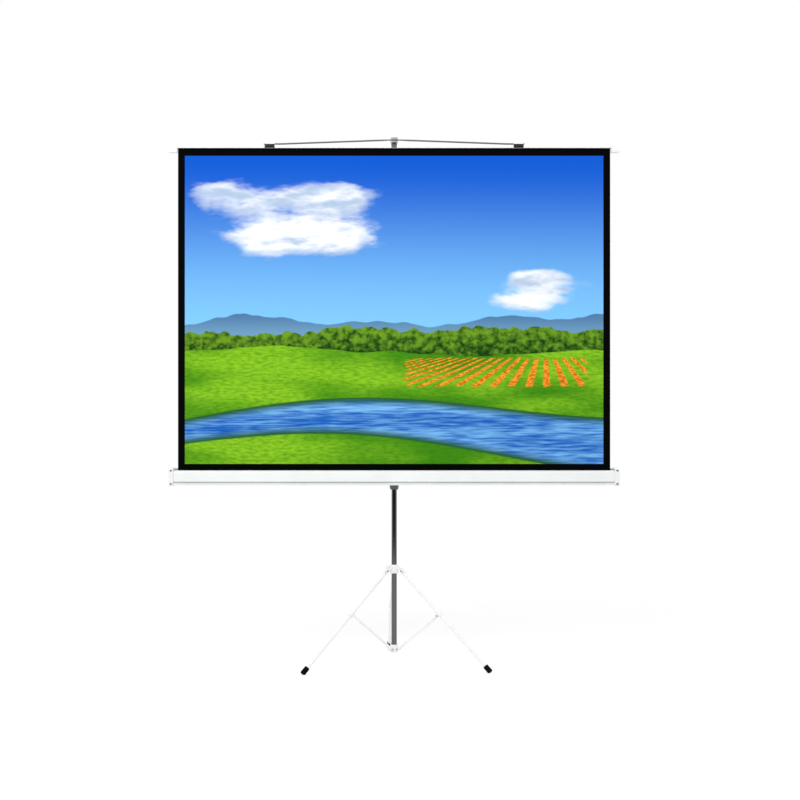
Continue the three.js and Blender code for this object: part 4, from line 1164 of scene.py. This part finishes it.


# Small fasteners, and a grey strip of painted shade in the case's groove
def painted_groove_shade_strip():
    """A grey strip on the floor of the groove along the front of the case: painted shade that darkens the groove.
    """
    low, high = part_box("case_shell")
    size = (high.x - low.x - GROOVE_SHADE_SHORTENING, GROOVE_SHADE_THICKNESS, GROOVE_TOP_Z - GROOVE_BOTTOM_Z)
    face = low.y + GROOVE_DEPTH - GROOVE_SHADE_THICKNESS / 2
    strip = block_mesh("painted_groove_shade_strip", size, (0, face, (GROOVE_TOP_Z + GROOVE_BOTTOM_Z) / 2))
    # The strip is painted shade, not a real trim
    new_piece("painted_groove_shade_strip", strip, "case", "dark_plastic", painted_groove_shade)


def screw(name, body, place, along, radius):
    """A cross-head screw: a low dome with a black cross set in it, painted shade that stands for the shade in the
    cross recess.
    """
    profile = [
        (0, -SCREW_SUNK),
        (radius, -SCREW_SUNK),
        (radius, SCREW_RIM),
        (radius * SCREW_SHOULDER_SHARE, SCREW_SHOULDER),
        (0, SCREW_TOP),
    ]
    head = turned_mesh(name, profile, place, along, SCREW_SIDES)
    smooth(head)
    new_piece(name, head, body, "steel")
    # The black cross is painted shade of the cross recess
    work = bmesh.new()
    for length, breadth in ((CROSS_LENGTH, CROSS_BREADTH), (CROSS_BREADTH, CROSS_LENGTH)):
        size = Matrix.Diagonal((radius * length, radius * breadth, CROSS_DEPTH, 1))
        bmesh.ops.create_cube(work, size=1.0, matrix=Matrix.Translation((0, 0, CROSS_RISE)) @ size)
    turn = along.to_track_quat("Z", "Y").to_matrix().to_4x4()
    bmesh.ops.transform(work, matrix=Matrix.Translation(place) @ turn, verts=work.verts)
    new_piece(name + "_cross_shade", mesh_from(work, name + "_cross_shade"), body, "black_plastic")


def fasteners():
    for side, sign in (("left", -1), ("right", 1)):
        outward = Vector((sign, 0, 0))
        low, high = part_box(f"case_end_cap_{side}")
        face = high.x if sign > 0 else low.x
        middle = middle_of(f"case_end_cap_{side}")
        for part, (dy, dz) in enumerate(END_SCREW_OFFSETS):
            place = Vector((face, middle.y + dy, middle.z + dz))
            screw(f"end_cap_screw_{side}_{part}", "case", place, outward, END_SCREW_RADIUS)
        for part, height in (("top", high.z - FRONT_SCREW_INSET), ("bottom", low.z + FRONT_SCREW_INSET)):
            place = Vector((middle.x + sign * FRONT_SCREW_SHIFT, low.y, height))
            screw(f"end_cap_{part}_screw_{side}", "case", place, FRONT, FRONT_SCREW_RADIUS)
        low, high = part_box(f"slat_end_cap_{side}")
        face = high.x if sign > 0 else low.x
        middle = middle_of(f"slat_end_cap_{side}")
        place = Vector((face, middle.y, middle.z + SLAT_SCREW_RISE))
        screw(f"slat_cap_screw_{side}", "slat", place, outward, SLAT_SCREW_RADIUS)
    middle = middle_of("case_bracket")
    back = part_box("case_shell")[1].y + FIT_GAP + BRACKET_STEEL
    for across in (-1, 1):
        for up in (-1, 1):
            height = middle.z + up * BRACKET_SCREW_UP
            place = Vector((across * BRACKET_SCREW_ACROSS, back, height))
            screw(f"bracket_screw_{across + 1}_{up + 1}", "case", place, BACK, BRACKET_SCREW_RADIUS)


# Light, floor and camera
def stage_plane(name, size, place, turn, material):
    bpy.ops.mesh.primitive_plane_add(size=1, location=place, rotation=turn)
    plane = bpy.context.object
    plane.name = name
    plane.scale = (*size, 1)
    plane.data.materials.append(material)
    return plane


def area_light(name, place, aim, power):
    data = bpy.data.lights.new(name, "AREA")
    data.shape = "RECTANGLE"
    data.size = LIGHT_SIDE
    data.size_y = LIGHT_SIDE
    data.energy = power
    light = bpy.data.objects.new(name, data)
    light.location = place
    light.rotation_euler = (Vector(aim) - Vector(place)).to_track_quat("-Z", "Y").to_euler()
    light.visible_camera = False
    bpy.context.scene.collection.objects.link(light)


def studio():
    world = bpy.data.worlds.new("studio")
    bpy.context.scene.world = world
    world.use_nodes = True
    background = world.node_tree.nodes["Background"]
    background.inputs["Color"].default_value = WORLD_COLOR
    background.inputs["Strength"].default_value = WORLD_STRENGTH
    glow = floor_finish.node_tree.nodes["Principled BSDF"].inputs
    glow["Emission Color"].default_value = FLOOR_GLOW_COLOR
    glow["Emission Strength"].default_value = FLOOR_GLOW
    stage_plane("floor", (FLOOR_SIDE, FLOOR_SIDE), (0, 0, 0), (0, 0, 0), floor_finish)
    for name, (size, place, turn, shades) in CARDS.items():
        card = stage_plane(name, size, place, turn, card_finish)
        card.visible_camera = False
        card.visible_diffuse = shades
        card.visible_shadow = shades
    for name, (place, aim, power) in LIGHTS.items():
        area_light(name, place, aim, power)


def photo_camera():
    scene = bpy.context.scene
    scene.view_settings.view_transform = "Standard"
    scene.view_settings.look = "None"
    cloth_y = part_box("screen_fabric")[0].y
    data = bpy.data.cameras.new("photo_camera")
    data.sensor_width = SENSOR_MM
    data.lens = SENSOR_MM * FOCAL_PIXELS / IMAGE_SIDE
    data.clip_end = CAMERA_SEES_TO
    camera = bpy.data.objects.new("photo_camera", data)
    camera.location = (CAMERA_RIGHT, cloth_y - CAMERA_DISTANCE, CAMERA_HEIGHT)
    camera.rotation_euler = (UPRIGHT, 0, 0)
    scene.collection.objects.link(camera)
    scene.camera = camera


# Put together
for node_name, edge_width in EDGES.items():
    refined(node_name, edge_width)
for leg_name in LEG_NAMES:
    leg_pieces(leg_name)
    for part_name, edge_width in LEG_EDGES.items():
        refined(f"{part_name}_{leg_name}", edge_width)
knob_piece("hub_knob", "hub_knob_turn", HUB_KNOB_GRIP)
knob_piece("carrier_lock_knob", "carrier_knob_turn", CARRIER_KNOB_GRIP)
upright_tube("mast_tube", MAST_WALL, "rod_lock_button")
upright_tube("extension_rod", ROD_WALL)
screen_sheet()
roll_piece()
bail_pieces()
hook_pieces()
slat_keeper()
painted_groove_shade_strip()
fasteners()
for node_name, node in frame["nodes"].items():
    node.data.materials.clear()
    node.data.materials.append(FINISHES[slot_of_node(node_name)])
studio()
photo_camera()
